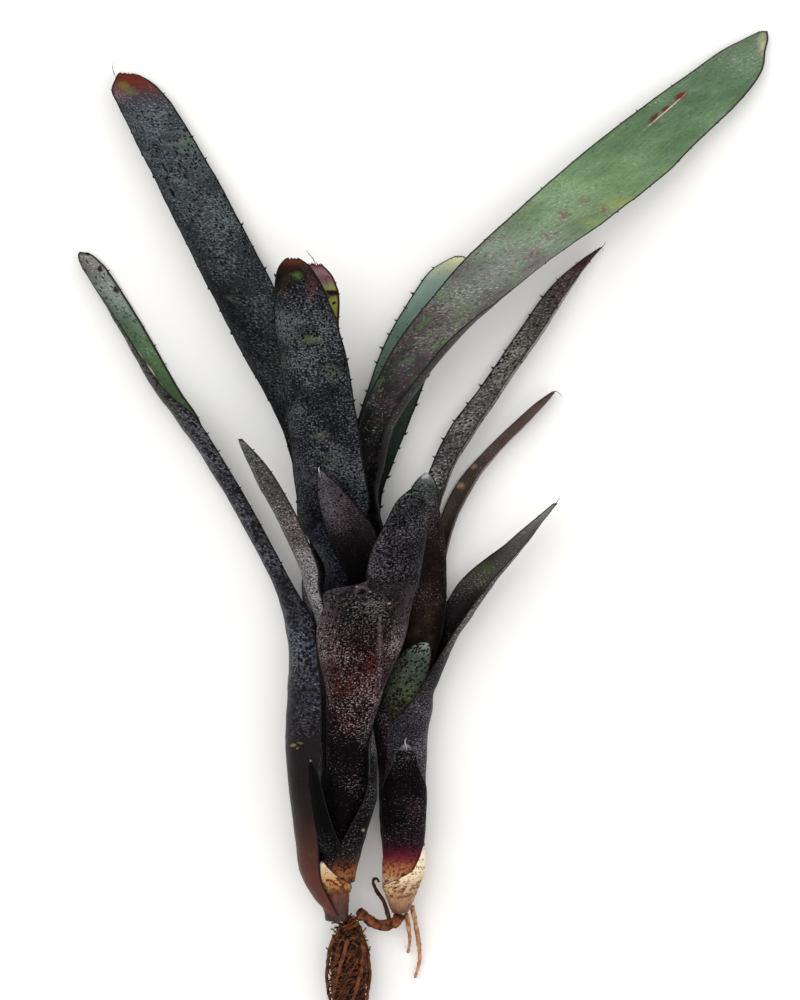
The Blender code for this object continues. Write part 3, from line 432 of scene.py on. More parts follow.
            "flecks": ([(-102, "#807c80"), (-86, "#5b585a"), (-70, "#3d3a3c")], 0.8, [(-102, 0.3),
                (-94, 0.38), (-88, 0.2), (-70, 0.1)]), "margin": ("#232022", 0.25)}},
    "mother_bract_papery": {
        "back": {
            "colours": [(-109, "#5e3d2a"), (-107, "#9a6a42"), (-105, "#b0804f"), (-103.4, "#c29d74"),
                (-101.5, "#cdb18e"), (-98.5, "#d9c5a8")], "pits": ("#1d0f09", 1.0, 0.42),
            "patches": [("#5e3119", 1.3, [(-109, 0.66), (-104, 0.56), (-101, 0.3)])],
            "margin": ("#2f1a10", 0.35)},
        "face": {"colours": [(-112, "#6b4230"), (-101, "#c9a47e")]}},
    "pup_leaf_long": {
        "face": {
            "dim": 1.15,
            "colours": [(-20, "#141114"), (10, "#302d30"), (24, "#403c3f"), (34, "#494546"),
                (46, "#4e4a46"), (58, "#4a4640"), (70, "#4a443e"), (76, "#4c3d39"), (82, "#4a2a2e"),
                (87, "#341a1e")],
            "flecks": ([(10, "#aaa5a2"), (60, "#b0aca3"), (76, "#ab9f9c"), (86, "#96787c")], 1.3,
                [(10, 0.5), (60, 0.56), (76, 0.52), (86, 0.34)]), "pits": ("#0d0b0b", 1.6, 0.5),
            "margin": ("#171214", 0.5),
            "patches": [("#6f6c5d", 4, [(40, 0.25), (60, 0.4), (76, 0.35)], 0.3), ("#1c1517", 3, [(14, 0.3),
                (60, 0.25), (84, 0.4)], 0.3)]},
        "back": {
            "colours": [(-20, "#151215"), (30, "#5e5a5a"), (60, "#77736a"), (80, "#655654"),
                (87, "#4c3336")], "flecks": ("#a8a49c", 1.1, [(10, 0.5), (70, 0.5)]),
            "pits": ("#0b090a", 1.9, 0.5), "margin": ("#2a2426", 0.4)}},
    "pup_leaf_narrow": {
        "face": {
            "colours": [(-20, "#2a2120"), (4, "#54443f"), (14, "#4a443a"), (20, "#4c3e3a"), (30, "#5c4a46"),
                (36, "#5e4a46"), (41, "#4a2c2a"), (42, "#2e1a1a")],
            "flecks": ("#9b8984", 0.8, [(6, 0.35), (36, 0.4)]),
            "patches": [("#55632e", 3, [(8, 0.3), (18, 0.5), (24, 0.05)])], "margin": ("#2b1e1c", 0.35),
            "stains": [(11.5, 14, 1.1, 0.8, "#c9a283"), (15.5, 20, 0.9, 0.7, "#b98f74")]},
        "back": {
            "colours": [(-20, "#191415"), (8, "#564845"), (30, "#6c5b58"), (42, "#4a3534")],
            "flecks": ("#a08f8b", 0.8, [(6, 0.4), (36, 0.4)]), "margin": ("#3a2b29", 0.3)}},
    "pup_leaf_broad": {
        "back": {
            "dim": 0.6, "gloss": 0.04,
            "colours": [(-60, "#100a0a"), (-32, "#1d1210"), (-26, "#251812"), (-18, "#211412"),
                (-6, "#1f1111"), (0, "#2a1a1b"), (5, "#332a2c"), (10, "#3a3a3c"), (14, "#38423f"),
                (16.5, "#7e8281")],
            "flecks": ("#857b7e", 0.75, [(-32, 0.2), (-4, 0.3), (3, 0.45), (13, 0.5)]),
            "patches": [("#35291a", 5, [(-34, 0.5), (-6, 0.3), (2, 0)], 0.35)],
            "pits": ("#0a0607", 1.6, 0.4), "margin": ("#0f0b0c", 0.5),
            "stains": [(-1, 11, 2, 4.5, "#2f4038"), (1.5, -26, 1.4, 2.6, "#2c2015")],
            "marks": [(0.4, 16.8, 1.2, 0.7, 20, "#a9a9ab")]},
        "face": {"colours": [(-45, "#0a0607"), (17, "#1d1b1d")], "margin": ("#0f0b0c", 0.4)}},
    "pup_leaf_low": {
        "face": {
            "colours": [(-50, "#0b0809"), (-30, "#140e10"), (-20, "#241a1d"), (-13, "#3a3a30"),
                (-9, "#423c38"), (0, "#5a5650"), (8, "#7a7870")],
            "flecks": ("#9c9992", 0.8, [(-34, 0.15), (-16, 0.35), (6, 0.5)]), "margin": ("#191414", 0.45),
            "stains": [(19.5, -11, 2.6, 1.6, "#43542f")]},
        "back": {
            "dim": 0.45, "gloss": 0.05, "fuzz": 0.08,
            "colours": [(-95, "#1a1414"), (-80, "#151112"), (-66, "#26232a"), (-56, "#34323a"),
                (-48, "#2b292c"), (-38, "#1c191b"), (-28, "#221b1f"), (-16, "#3a3234"), (-6, "#544b48"),
                (8, "#77746c")],
            "flecks": ([(-90, "#8d888c"), (-62, "#6b686f"), (-40, "#6d686a"), (-20, "#a39c9a"),
                (8, "#aaa5a2")], 0.8, [(-90, 0.3), (-64, 0.48), (-40, 0.48), (-24, 0.52), (8, 0.6)]),
            "pits": ("#0c0a0b", 1.3, 0.5), "margin": ("#191414", 0.45)}},
    "pup_leaf_blunt": {
        "back": {
            "dim": 0.75, "gloss": 0.05,
            "colours": [(-70, "#131010"), (-62, "#1f1917"), (-57, "#211d19"), (-51, "#33341f"),
                (-46, "#38402a"), (-42, "#39453a"), (-38, "#434b46"), (-35, "#5a605c"), (-33, "#a5a6a6")],
            "flecks": ("#7d857d", 0.8, [(-64, 0.3), (-46, 0.3), (-40, 0.46), (-36, 0.6), (-33, 0.95)]),
            "pits": ("#100e0b", 1.4, 0.75),
            "patches": [("#3e5138", 4, [(-60, 0), (-50, 0.4), (-42, 0.45), (-37, 0)], 0.35)],
            "margin": ("#1b1816", 0.4)}},
    "pup_cataphyll_front": {
        "back": {
            "gloss": 0.02, "fuzz": 0.03,
            "colours": [(-108, "#9a7656"), (-105.5, "#c7a684"), (-103.5, "#b27a50"), (-101, "#9c5a3c"),
                (-99, "#6f2c30"), (-97.5, "#551c28"), (-95, "#2e1119"), (-92, "#150b0f"), (-88, "#080607"),
                (-66, "#080607"), (-64.5, "#6f6d6e")],
            "flecks": ([(-104, "#5a3a2c"), (-98, "#4a2a2e"), (-93, "#77727a"), (-76, "#77737a"),
                (-64, "#706c6e")], 0.8, [(-104, 0.3), (-97, 0.36), (-93, 0.4), (-84, 0.36), (-78, 0.22),
                (-70, 0.24), (-64, 0.4)]),
            "patches": [("#5a3222", 1.3, [(-108, 0.55), (-101, 0.5), (-98, 0.3), (-96, 0)])],
            "pits": ("#040304", 1.1, 0.5, [(-106, 0.2), (-101, 0.5), (-95, 1)]), "margin": ("#3a3537", 0.3),
            "stains": [(-3, -84, 1.8, 3.4, "#2a141b")]}},
    "pup_cataphyll_left": {
        "back": {
            "dim": 0.4, "gloss": 0.03,
            "colours": [(-99, "#6c3a2c"), (-96, "#241213"), (-92, "#120a0c"), (-70, "#1a0e12"),
                (-60, "#241117"), (-52, "#171012")],
            "flecks": ("#6f6a6d", 0.8, [(-96, 0.2), (-70, 0.24), (-55, 0.3)]), "margin": ("#2a2225", 0.3)}},
    "pup_bract_papery": {
        "back": {
            "colours": [(-111, "#9a7452"), (-107.5, "#cbac88"), (-103, "#e0cba9"), (-94, "#efe3cc")],
            "pits": ("#2b170d", 1.05, 0.42),
            "patches": [("#7c4c2e", 1.5, [(-111, 0.62), (-106, 0.5), (-99, 0.35), (-95, 0.1)])],
            "margin": ("#3a2417", 0.3)},
        "face": {"colours": [(-102, "#7c5138"), (-95, "#c9a47e")]}},
}

# The stolon, the roots and the root ball, as the CAD has them
CORD_STEP = 0.8
STOLON_RADIUS = 1.7
STOLON_ROUTE = [
    (-7.4, -117, 7.8), (-8.2, -118.9, 7.3), (-11, -120.2, 6.4), (-14, -120, 6.2), (-17, -118.2, 7.2),
    (-19.6, -115.6, 8.8)]
ROOTS = {
    "pup_root_short": (0.7, "pale", [
        (-5.2, -116.7, 7), (-4.6, -121, 5.6), (-4.2, -125.5, 3.4), (-4.8, -129.5, 1.6)]),
    "pup_root_long": (0.8, "pale", [
        (-3.6, -114.6, 6), (-2.6, -119.5, 5), (-1.5, -126, 3), (-1.2, -132, 1.6), (-2.6, -137.5, 1.1)]),
    "pup_root_loop": (0.7, "dark", [
        (-10.4, -118.7, 6.5), (-10.9, -116.8, 6.8), (-12.2, -112.8, 6.5), (-14.2, -109.8, 6.4),
        (-15.4, -107.4, 6.5), (-15.2, -106.1, 6.7), (-14.1, -106.1, 6.8), (-13.7, -107.1, 6.8)]),
}
ROOT_MASS_CENTRE = (-23, -135, 6.5)
ROOT_MASS_RADII = (5.2, 16.4, 4.9)
ROOT_MASS_LUMPS = 0.6
ROOT_MASS_LUMPINESS = 2.3
MASS_ROOTS = 6
MASS_ROOT_RADIUS = 0.6
MASS_ROOT_OUT = 1.3
MASS_ROOT_SPAN = (50, 150)
MASS_ROOT_TURN = 70
MASS_ROOT_POINTS = 7
FLOOR_GAP = 0.05        # between a root of the ball and the floor
LOWEST_POINT = 0.02     # of any hair or strand

# Dry wisps that curl off the tips and tears: the slot of the leaf, whether pale, and the route
WISPS = {
    "upper_left": ("grey_leaf", False, [
        (-94.6, 139.8, 3.2), (-95.2, 141.3, 3.6), (-95.3, 142.8, 4), (-94.9, 143.6, 4.2)]),
    "centre_back": ("purple_leaf", False, [
        (-32.7, 80.9, 19.2), (-33.6, 82.3, 19.6), (-34.6, 83.4, 20), (-35.3, 84.4, 20.2)]),
    "far_left": ("grey_leaf", False, [(-104.8, 85.4, 2.2), (-105.6, 84.9, 2.4), (-105.9, 84.2, 2.6)]),
    "heart": ("purple_leaf", True, [(-31.2, 18, 25.3), (-31.3, 18.8, 25.7), (-31.1, 19.4, 25.9)]),
    "long": ("grey_leaf", False, [(54.7, 87, 2.3), (55.6, 88.2, 2.5), (55.9, 89, 2.7)]),
    "narrow": ("purple_leaf", False, [(40, 43, 2.2), (41, 42.9, 2.4), (42, 42.1, 2.6), (42.8, 41.2, 2.6)]),
    "low": ("grey_leaf", False, [(40, 8.5, 9.2), (41, 9.6, 9.4), (41.4, 10.5, 9.6)]),
    "broad_left": ("purple_leaf", True, [(0.5, 17.3, 16.7), (0.1, 18.1, 17), (-0.3, 18.3, 17.2)]),
    "broad_right": ("purple_leaf", True, [(0.9, 17.4, 16.8), (1.1, 18.5, 17), (1.6, 19, 17.2)]),
    "cataphyll": ("cataphyll", True, [(-5.5, -64.1, 16), (-5.7, -62.9, 16.3), (-5.2, -61.9, 16.5)]),
}

# The leaf meshes
ROW = 0.9               # between rows along a blade
COLUMN = 0.62           # between columns across it
FEWEST_COLUMNS = 9
RIM = 0.24              # share of the thickness that is left at a margin
RIM_REACH = 2.5         # how far in from a margin a blade thins
WAVE = 0.22             # height of the gentle unevenness of a blade
WAVE_SIZE = 9
TEAR_REACH = 14         # power of the place along a blade, so that a tear stays near the tip
WELD = 0.001            # points nearer than this are merged

# The margin spines; shares are of a spine's length, and the zone is of the leaf's
SPINE_WIDTH = 0.34
SPINE_HOOK = 0.6
SPINE_TIP = 0.02
SPINE_ZONE = (0.45, 0.97)
SPINE_SIZES = (0.55, 1.25)
SPINE_GAPS = 0.18       # chance that one is missing

# The leaf skins
CLOUD_SIZE = 12         # of the slow drift of lightness
VEIN_SPACING = 0.9

# The stems
STEM_STEP = 0.5
STEM_SIDES = 40
STEM_TAPER = 0.5        # share of the bore that is left at the stem's top
SCAR_DEPTH = 0.12       # of the ring scars, which lie 3 mm apart
SCAR_TURN = 2.1         # radians for each mm
STEM_DENTS = 0.075      # share of the radius
STEM_DENT_SCALE = 350

# The strands: hairs are cones, and the root ball's mat is a layer of short bowed strands
HAIR_LENGTH = 1.5
HAIR_FOOT = 0.07
HAIR_TIP = 0.01
MAT_STRANDS = 900000.0  # for each square metre
MAT_LENGTH = 6
MAT_RADIUS = 0.17
MAT_BOW = 0.9
STRAND_SIZES = (0.5, 1.5)
CORE_SIZE = 0.97        # share of the root ball that the dark core fills
CORE_ROUGHNESS = 0.05   # share of its radius
CORE_GRAIN = 9
WISP_STEP = 0.3
WISP_RADIUS = 0.11

# Each piece's random pattern has its own seed; the leaves take theirs from their place in LEAVES
HAIR_SEED = 7
MAT_SEED = 4
STOLON_SEED = 30
FIRST_ROOT_SEED = 31
FIRST_MASS_ROOT_SEED = 40

# The studio: a camera straight above the plant, a little off its middle (mm)
CAMERA_PLACE = (-7.2, 9.6, 668)
CAMERA_LENS = 78
CAMERA_SENSOR = 36
FLOOR_REACH = 3         # metres
SKY_STRENGTH = 0.78
LIGHTS = {              # place and size in metres, power in watts
    "key": ((-0.9, 0.7, 1.6), 1.8, 15),
    "fill": ((0.9, -0.4, 1.5), 2.2, 9),
}


# --- Small tools ---------------------------------------------------------------------------------------

def linear(hex_colour):
    """An sRGB hex colour as linear RGBA, which is what Blender's sockets hold."""
    parts = [int(hex_colour[i:i + 2], 16) / 255 for i in (1, 3, 5)]
    return (*[part / 12.92 if part <= 0.04045 else ((part + 0.055) / 1.055) ** 2.4 for part in parts], 1)


def add_node(tree, kind, inputs=(), **settings):
    """Adds a node and gives its outputs.

    inputs gives each socket, by its name or number, a value, another node's output or a list of outputs.
    """
    made = tree.nodes.new(kind)
    for name, value in settings.items():
        setattr(made, name, value)
    for key, value in dict(inputs).items():
        if isinstance(key, str):
            socket = next(one for one in made.inputs if one.name == key and one.enabled)
        else:
            socket = made.inputs[key]
        for part in value if isinstance(value, list) else [value]:
            if isinstance(part, bpy.types.NodeSocket):
                tree.links.new(part, socket)
            else:
                socket.default_value = part
    return made.outputs


def uneven(add, inputs, spread, low=0, high=1, **settings):
    """A soft random pattern, raw, and as a value from low to high that changes within spread of its mean."""
    raw = add("ShaderNodeTexNoise", inputs, **settings)[0]
    value = add("ShaderNodeMapRange", {
        "Value": raw, "From Min": 0.5 - spread, "From Max": 0.5 + spread, "To Min": low, "To Max": high})[0]
    return raw, value


def read(table, place):
    """Values between rows that each start with the place along the shoot."""
    places = [row[0] for row in table]
    return [float(np.interp(place, places, column)) for column in list(zip(*table))[1:]]


def sheath_sections(leaf, shoot):
    """Nested sheaths: each leaves the stem at its own height, and above that it lies outside later ones."""
    if "sheath" not in leaf:
        return []
    start, end = leaf["sheath"]
    top, step, layer = shoot["layer_top"], shoot["layer_step"], leaf["layer"]
    fans = [top - step * number for number in range(LAYERS)]
    places = fans + [y for y, _ in shoot["bore"] if y > top]
    facing = math.radians(leaf["faces"])
    sections = []
    for y in [start] + sorted(place for place in places if start < place < end) + [end]:
        outside = min(max((y - (top - step * layer)) / step, 0), layer)
        radius = read(shoot["bore"], y)[0] + SEAT_GAP + BLADE_THICKNESS / 2 + LAYER_PITCH * outside
        x, z = read(shoot["axis"], y)
        wrap = float(np.interp(y, leaf["sheath"], leaf["wrap"]))
        sections.append((x + radius * math.cos(facing), y, z + radius * math.sin(facing),
                         radius * math.radians(wrap), leaf["faces"], wrap))
    return sections


def smooth_rows(sections, step):
    """Catmull-Rom rows through the sections, which a span longer than the step divides."""
    points = np.array(sections, float)
    padded = np.vstack([2 * points[0] - points[1], points, 2 * points[-1] - points[-2]])
    rows = []
    for before, this, after, beyond in zip(padded, padded[1:], padded[2:], padded[3:]):
        count = max(1, math.ceil(np.linalg.norm(after[:3] - this[:3]) / step))
        for t in np.arange(count) / count:
            rows.append(0.5 * (2 * this + (after - before) * t
                               + (2 * before - 5 * this + 4 * after - beyond) * t**2
                               + (3 * this - before - 3 * after + beyond) * t**3))
    return np.array(rows + [points[-1]])


def line_mesh(name, points, **attributes):
    """A line through points in mm, as the edges of a mesh, with vector attributes on its points."""
    data = bpy.data.meshes.new(name)
    edges = [(i, i + 1) for i in range(len(points) - 1)]
    data.from_pydata([tuple(point * MM) for point in np.array(points)], edges, [])
    for key, values in attributes.items():
        layer = data.attributes.new(key, "FLOAT_VECTOR", "POINT")
        layer.data.foreach_set("vector", np.array(values, np.float32).ravel())
    return data


def put(name, data):
    """A new object in the scene, at the origin."""
    made = bpy.data.objects.new(name, data)
    bpy.context.scene.collection.objects.link(made)
    return made


def grow(name, data, tree, inputs):
    """Runs a Geometry Nodes tree on a mesh and keeps the result as a plain mesh object at the origin."""
    start = put(name + "_start", data)
    modifier = start.modifiers.new("growth", "NODES")
    modifier.node_group = tree
    for item in tree.interface.items_tree:
        if item.in_out == "INPUT" and item.name in inputs:
            modifier[item.identifier] = inputs[item.name]
    graph = bpy.context.evaluated_depsgraph_get()
    grown = bpy.data.meshes.new_from_object(
        start.evaluated_get(graph), preserve_all_data_layers=True, depsgraph=graph)
    bpy.data.objects.remove(start)
    grown.name = name
    return put(name, grown)


def settle(piece, node=None):
    """A finished piece rides on the plant's one body, and stands for its CAD node, if any."""
    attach(piece, "root")
    if node:
        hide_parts(node)


def new_tree(name, inputs, output):
    """A Geometry Nodes tree, how to add its nodes, and what its inputs give.

    Each socket is given as name: kind, or as name: (kind, default).
    """
    tree = bpy.data.node_groups.new(name, "GeometryNodeTree")
    for key, kind in inputs.items():
        kind, *default = kind if isinstance(kind, tuple) else (kind,)
        socket = tree.interface.new_socket(key, in_out="INPUT", socket_type="NodeSocket" + kind)
        for value in default:
            socket.default_value = value
    for key, kind in output.items():
        tree.interface.new_socket(key, in_out="OUTPUT", socket_type="NodeSocket" + kind)
    add = partial(add_node, tree)
    return tree, add, add("NodeGroupInput")


# --- Geometry Nodes trees ------------------------------------------------------------------------------

def above_floor(add, geometry):
    """Lifts every point that has sunk under the surface that the plant lies on, and leaves X and Y alone."""
    here = add("GeometryNodeInputPosition")[0]
    lowest = (-9, -9, LOWEST_POINT * MM)
    kept = add("ShaderNodeVectorMath", {0: here, 1: lowest}, operation="MAXIMUM")[0]
    return add("GeometryNodeSetPosition", {"Geometry": geometry, "Position": kept})[0]


def bowed_cone(add, sides, rings, tip, foot, height, hook):
    """A thin cone that stands on the origin and leans over towards X, most at its tip."""
    cone = add("GeometryNodeMeshCone", {
        "Vertices": sides, "Side Segments": rings, "Radius Top": tip * MM, "Radius Bottom": foot,
        "Depth": height})[0]
    here = add("GeometryNodeInputPosition")[0]
    lean = add("ShaderNodeSeparateXYZ", {0: here})["Z"]
    for operation, by in (("DIVIDE", height), ("POWER", 2), ("MULTIPLY", height), ("MULTIPLY", hook)):
        lean = add("ShaderNodeMath", {0: lean, 1: by}, operation=operation)[0]
    aside = add("ShaderNodeCombineXYZ", {"X": lean})[0]
    return add("GeometryNodeSetPosition", {"Geometry": cone, "Offset": aside})[0]


def section_point_tree():
    """Where a point lies on a leaf's section: an arc in the X-Z plane of a half width, facing and curl."""
    tree, add, given = new_tree("section_point", {"Section": "Vector", "Across": "Float"},
                                {"Offset": "Vector", "Back": "Vector", "Outward": "Vector"})
    part = add("ShaderNodeSeparateXYZ", {0: given["Section"]})
    radius = add("ShaderNodeMath", {0: part["X"], 1: part["Z"]}, operation="DIVIDE")[0]
    angle = add("ShaderNodeMath", {0: given["Across"], 1: part["Z"], 2: part["Y"]},
                operation="MULTIPLY_ADD")[0]
    directions = []
    for turned in (part["Y"], angle):
        cosine = add("ShaderNodeMath", {0: turned}, operation="COSINE")[0]
        sine = add("ShaderNodeMath", {0: turned}, operation="SINE")[0]
        directions.append(add("ShaderNodeCombineXYZ", {"X": cosine, "Z": sine})[0])
    middle, back = directions
    chord = add("ShaderNodeVectorMath", {0: back, 1: middle}, operation="SUBTRACT")[0]
    offset = add("ShaderNodeVectorMath", {0: chord, "Scale": radius}, operation="SCALE")[0]
    ahead = add("ShaderNodeVectorMath", {0: (0, -1, 0), 1: back}, operation="CROSS_PRODUCT")[0]
    outward = add("ShaderNodeVectorMath", {0: ahead, "Scale": given["Across"]}, operation="SCALE")[0]
    add("NodeGroupOutput", {"Offset": offset, "Back": back, "Outward": outward})
    return tree


def leaf_blade_tree(section_point):
    """A leaf: a grid laid on the sections, torn at its end, uneven, and given a thickness, less at edges.

    It stores across and along (mm on the surface) and edge (mm to the nearest margin) for the finishes.
    """
    tree, add, given = new_tree("leaf_blade", {
        "Sections": "Geometry", "Columns": "Int", "Rows": "Int", "Thickness": "Float", "Rim": "Float",
        "Wave": "Float", "Wave Size": "Float", "Tear": "Float", "Teeth": "Float", "Seed": "Float",
        "Face": "Material", "Back": "Material"}, {"Leaf": "Geometry"})
    midrib = add("GeometryNodeMeshToCurve", {"Mesh": given["Sections"]})[0]
    length = add("GeometryNodeCurveLength", {"Curve": midrib})[0]
    sheet = add("GeometryNodeMeshGrid", {
        "Size X": 2, "Size Y": 1, "Vertices X": given["Columns"], "Vertices Y": given["Rows"]})[0]
    here = add("GeometryNodeInputPosition")[0]
    place = add("ShaderNodeSeparateXYZ", {0: here})
    across = place["X"]
    share = add("ShaderNodeMath", {0: place["Y"], 1: 0.5}, operation="ADD")[0]

    # The torn end: rows near the tip are pulled back by a jagged amount
    teeth = add("ShaderNodeMath", {0: across, 1: given["Teeth"]}, operation="MULTIPLY")[0]
    tooth = add("ShaderNodeCombineXYZ", {"X": teeth, "Y": given["Seed"]})[0]
    _, jag = uneven(add, {"Vector": tooth, "Scale": 5, "Detail": 4, "Roughness": 0.7}, 0.15)
    near_tip = add("ShaderNodeMath", {0: share, 1: TEAR_REACH}, operation="POWER")[0]
    depth = add("ShaderNodeMath", {0: given["Tear"], 1: length}, operation="DIVIDE")[0]
    torn = add("ShaderNodeMath", {0: jag, 1: near_tip}, operation="MULTIPLY")[0]
    torn = add("ShaderNodeMath", {0: torn, 1: depth}, operation="MULTIPLY")[0]
    along = add("ShaderNodeMath", {0: share, 1: torn}, operation="SUBTRACT", use_clamp=True)[0]

    section = add("GeometryNodeInputNamedAttribute", {"Name": "section"}, data_type="FLOAT_VECTOR")[0]
    rib = add("GeometryNodeSampleCurve", {"Curves": midrib, "Value": section, "Factor": along},
              data_type="FLOAT_VECTOR", mode="FACTOR", use_all_curves=True)
    point = add("GeometryNodeGroup", {"Section": rib["Value"], "Across": across}, node_tree=section_point)

    # Distances on the surface, kept in mm for the finishes
    half_width = add("ShaderNodeSeparateXYZ", {0: rib["Value"]})["X"]
    sideways = add("ShaderNodeMath", {0: across, 1: half_width}, operation="MULTIPLY")[0]
    upwards = add("ShaderNodeMath", {0: share, 1: length}, operation="MULTIPLY")[0]
    to_side = add("ShaderNodeMath", {0: sideways}, operation="ABSOLUTE")[0]
    to_side = add("ShaderNodeMath", {0: half_width, 1: to_side}, operation="SUBTRACT")[0]
    to_tip = add("ShaderNodeMath", {0: length, 1: upwards}, operation="SUBTRACT")[0]
    to_margin = add("ShaderNodeMath", {0: to_side, 1: to_tip}, operation="MINIMUM")[0]
    for name, distance in (("across", sideways), ("along", upwards), ("edge", to_margin)):
        in_mm = add("ShaderNodeMath", {0: distance, 1: 1 / MM}, operation="MULTIPLY")[0]
        sheet = add("GeometryNodeStoreNamedAttribute", {
            "Geometry": sheet, "Name": name, "Value": in_mm}, data_type="FLOAT", domain="POINT")[0]

    on_arc = add("ShaderNodeVectorMath", {0: rib["Position"], 1: point["Offset"]}, operation="ADD")[0]
    sheet = add("GeometryNodeSetPosition", {"Geometry": sheet, "Position": on_arc})[0]

    # Gentle unevenness along the surface's normal
    normal = add("GeometryNodeInputNormal")[0]
    scale = add("ShaderNodeMath", {0: 1, 1: given["Wave Size"]}, operation="DIVIDE")[0]
    _, height = uneven(add, {"Vector": here, "W": given["Seed"], "Scale": scale, "Detail": 2}, 0.2, -1, 1,
                       noise_dimensions="4D")
    height = add("ShaderNodeMath", {0: height, 1: given["Wave"]}, operation="MULTIPLY")[0]
    rise = add("ShaderNodeVectorMath", {0: normal, "Scale": height}, operation="SCALE")[0]
    sheet = add("GeometryNodeSetPosition", {"Geometry": sheet, "Offset": rise})[0]

    # The thickness, half of it to each side, and thinner near a margin
    margin = add("GeometryNodeInputNamedAttribute", {"Name": "edge"}, data_type="FLOAT")[0]
    full = add("ShaderNodeMapRange", {
        "Value": margin, "From Min": 0, "From Max": RIM_REACH, "To Min": given["Rim"], "To Max": 1})[0]
    thick = add("ShaderNodeMath", {0: full, 1: given["Thickness"]}, operation="MULTIPLY")[0]
    half = add("ShaderNodeMath", {0: thick, 1: -0.5}, operation="MULTIPLY")[0]
    down = add("ShaderNodeVectorMath", {0: normal, "Scale": half}, operation="SCALE")[0]
    back = add("GeometryNodeSetPosition", {"Geometry": sheet, "Offset": down})[0]
    raised = add("GeometryNodeExtrudeMesh", {
        "Mesh": back, "Offset Scale": thick, "Individual": False}, mode="FACES")
    face = add("GeometryNodeStoreNamedAttribute", {
        "Geometry": raised["Mesh"], "Name": "upper", "Value": raised["Top"]},
        data_type="BOOLEAN", domain="FACE")[0]
    under = add("GeometryNodeFlipFaces", {"Mesh": back})[0]
    shell = add("GeometryNodeJoinGeometry", {"Geometry": [face, under]})[0]
    closed = add("GeometryNodeMergeByDistance", {"Geometry": shell, "Distance": WELD * MM})[0]
    smooth = add("GeometryNodeSetShadeSmooth", {"Geometry": closed, "Shade Smooth": True})[0]
    real = add("GeometryNodeRealizeInstances", {"Geometry": smooth})[0]
    painted = add("GeometryNodeSetMaterial", {"Geometry": real, "Material": given["Back"]})[0]
    upper = add("GeometryNodeInputNamedAttribute", {"Name": "upper"}, data_type="BOOLEAN")[0]
    painted = add("GeometryNodeSetMaterial", {
        "Geometry": painted, "Selection": upper, "Material": given["Face"]})[0]
    add("NodeGroupOutput", {0: painted})
    return tree


def margin_spines_tree(section_point):
    """Hooked spines along one margin of a leaf, pointing outward and leaning to its tip."""
    tree, add, given = new_tree("margin_spines", {
        "Sections": "Geometry", "Side": "Float", "Spacing": "Float", "Length": "Float", "Width": "Float",
        "Seed": "Int", "Material": "Material"}, {"Spines": "Geometry"})
    midrib = add("GeometryNodeMeshToCurve", {"Mesh": given["Sections"]})[0]
    stops = add("GeometryNodeResampleCurve", {"Curve": midrib, "Length": given["Spacing"]}, mode="LENGTH")[0]
    share = add("GeometryNodeSplineParameter")["Factor"]
    low = add("FunctionNodeCompare", {"A": share, "B": SPINE_ZONE[0]}, operation="LESS_THAN")[0]
    high = add("FunctionNodeCompare", {"A": share, "B": SPINE_ZONE[1]}, operation="GREATER_THAN")[0]
    gap = add("FunctionNodeRandomValue", {"Probability": SPINE_GAPS, "Seed": given["Seed"]},
              data_type="BOOLEAN")[3]
    skipped = add("FunctionNodeBooleanMath", {0: low, 1: high}, operation="OR")[0]
    skipped = add("FunctionNodeBooleanMath", {0: skipped, 1: gap}, operation="OR")[0]
    kept = add("FunctionNodeBooleanMath", {0: skipped}, operation="NOT")[0]

    section = add("GeometryNodeInputNamedAttribute", {"Name": "section"}, data_type="FLOAT_VECTOR")[0]
    point = add("GeometryNodeGroup", {"Section": section, "Across": given["Side"]}, node_tree=section_point)
    tangent = add("GeometryNodeInputTangent")[0]
    upright = add("FunctionNodeAlignRotationToVector", {"Vector": point["Outward"]}, axis="Z")[0]
    leaning = add("FunctionNodeAlignRotationToVector", {"Rotation": upright, "Vector": tangent},
                  axis="X", pivot_axis="Z")[0]

    # How each spine is turned is read before the points move to the margin, so it is captured first
    moved = add("GeometryNodeCaptureAttribute", {"Geometry": stops})[0].node
    moved.capture_items.new("ROTATION", "Turn")
    tree.links.new(leaning, moved.inputs["Turn"])
    on_margin = add("GeometryNodeSetPosition", {
        "Geometry": moved.outputs["Geometry"], "Offset": point["Offset"]})[0]
    spine = bowed_cone(add, 6, 4, SPINE_TIP, given["Width"], given["Length"], SPINE_HOOK)
    size = add("FunctionNodeRandomValue", {
        "Min": SPINE_SIZES[0], "Max": SPINE_SIZES[1], "Seed": given["Seed"]}, data_type="FLOAT")[1]
    placed = add("GeometryNodeInstanceOnPoints", {
        "Points": on_margin, "Selection": kept, "Instance": spine, "Rotation": moved.outputs["Turn"],
        "Scale": size})[0]
    real = add("GeometryNodeRealizeInstances", {"Geometry": placed})[0]
    painted = add("GeometryNodeSetMaterial", {"Geometry": real, "Material": given["Material"]})[0]
    add("NodeGroupOutput", {0: painted})
    return tree


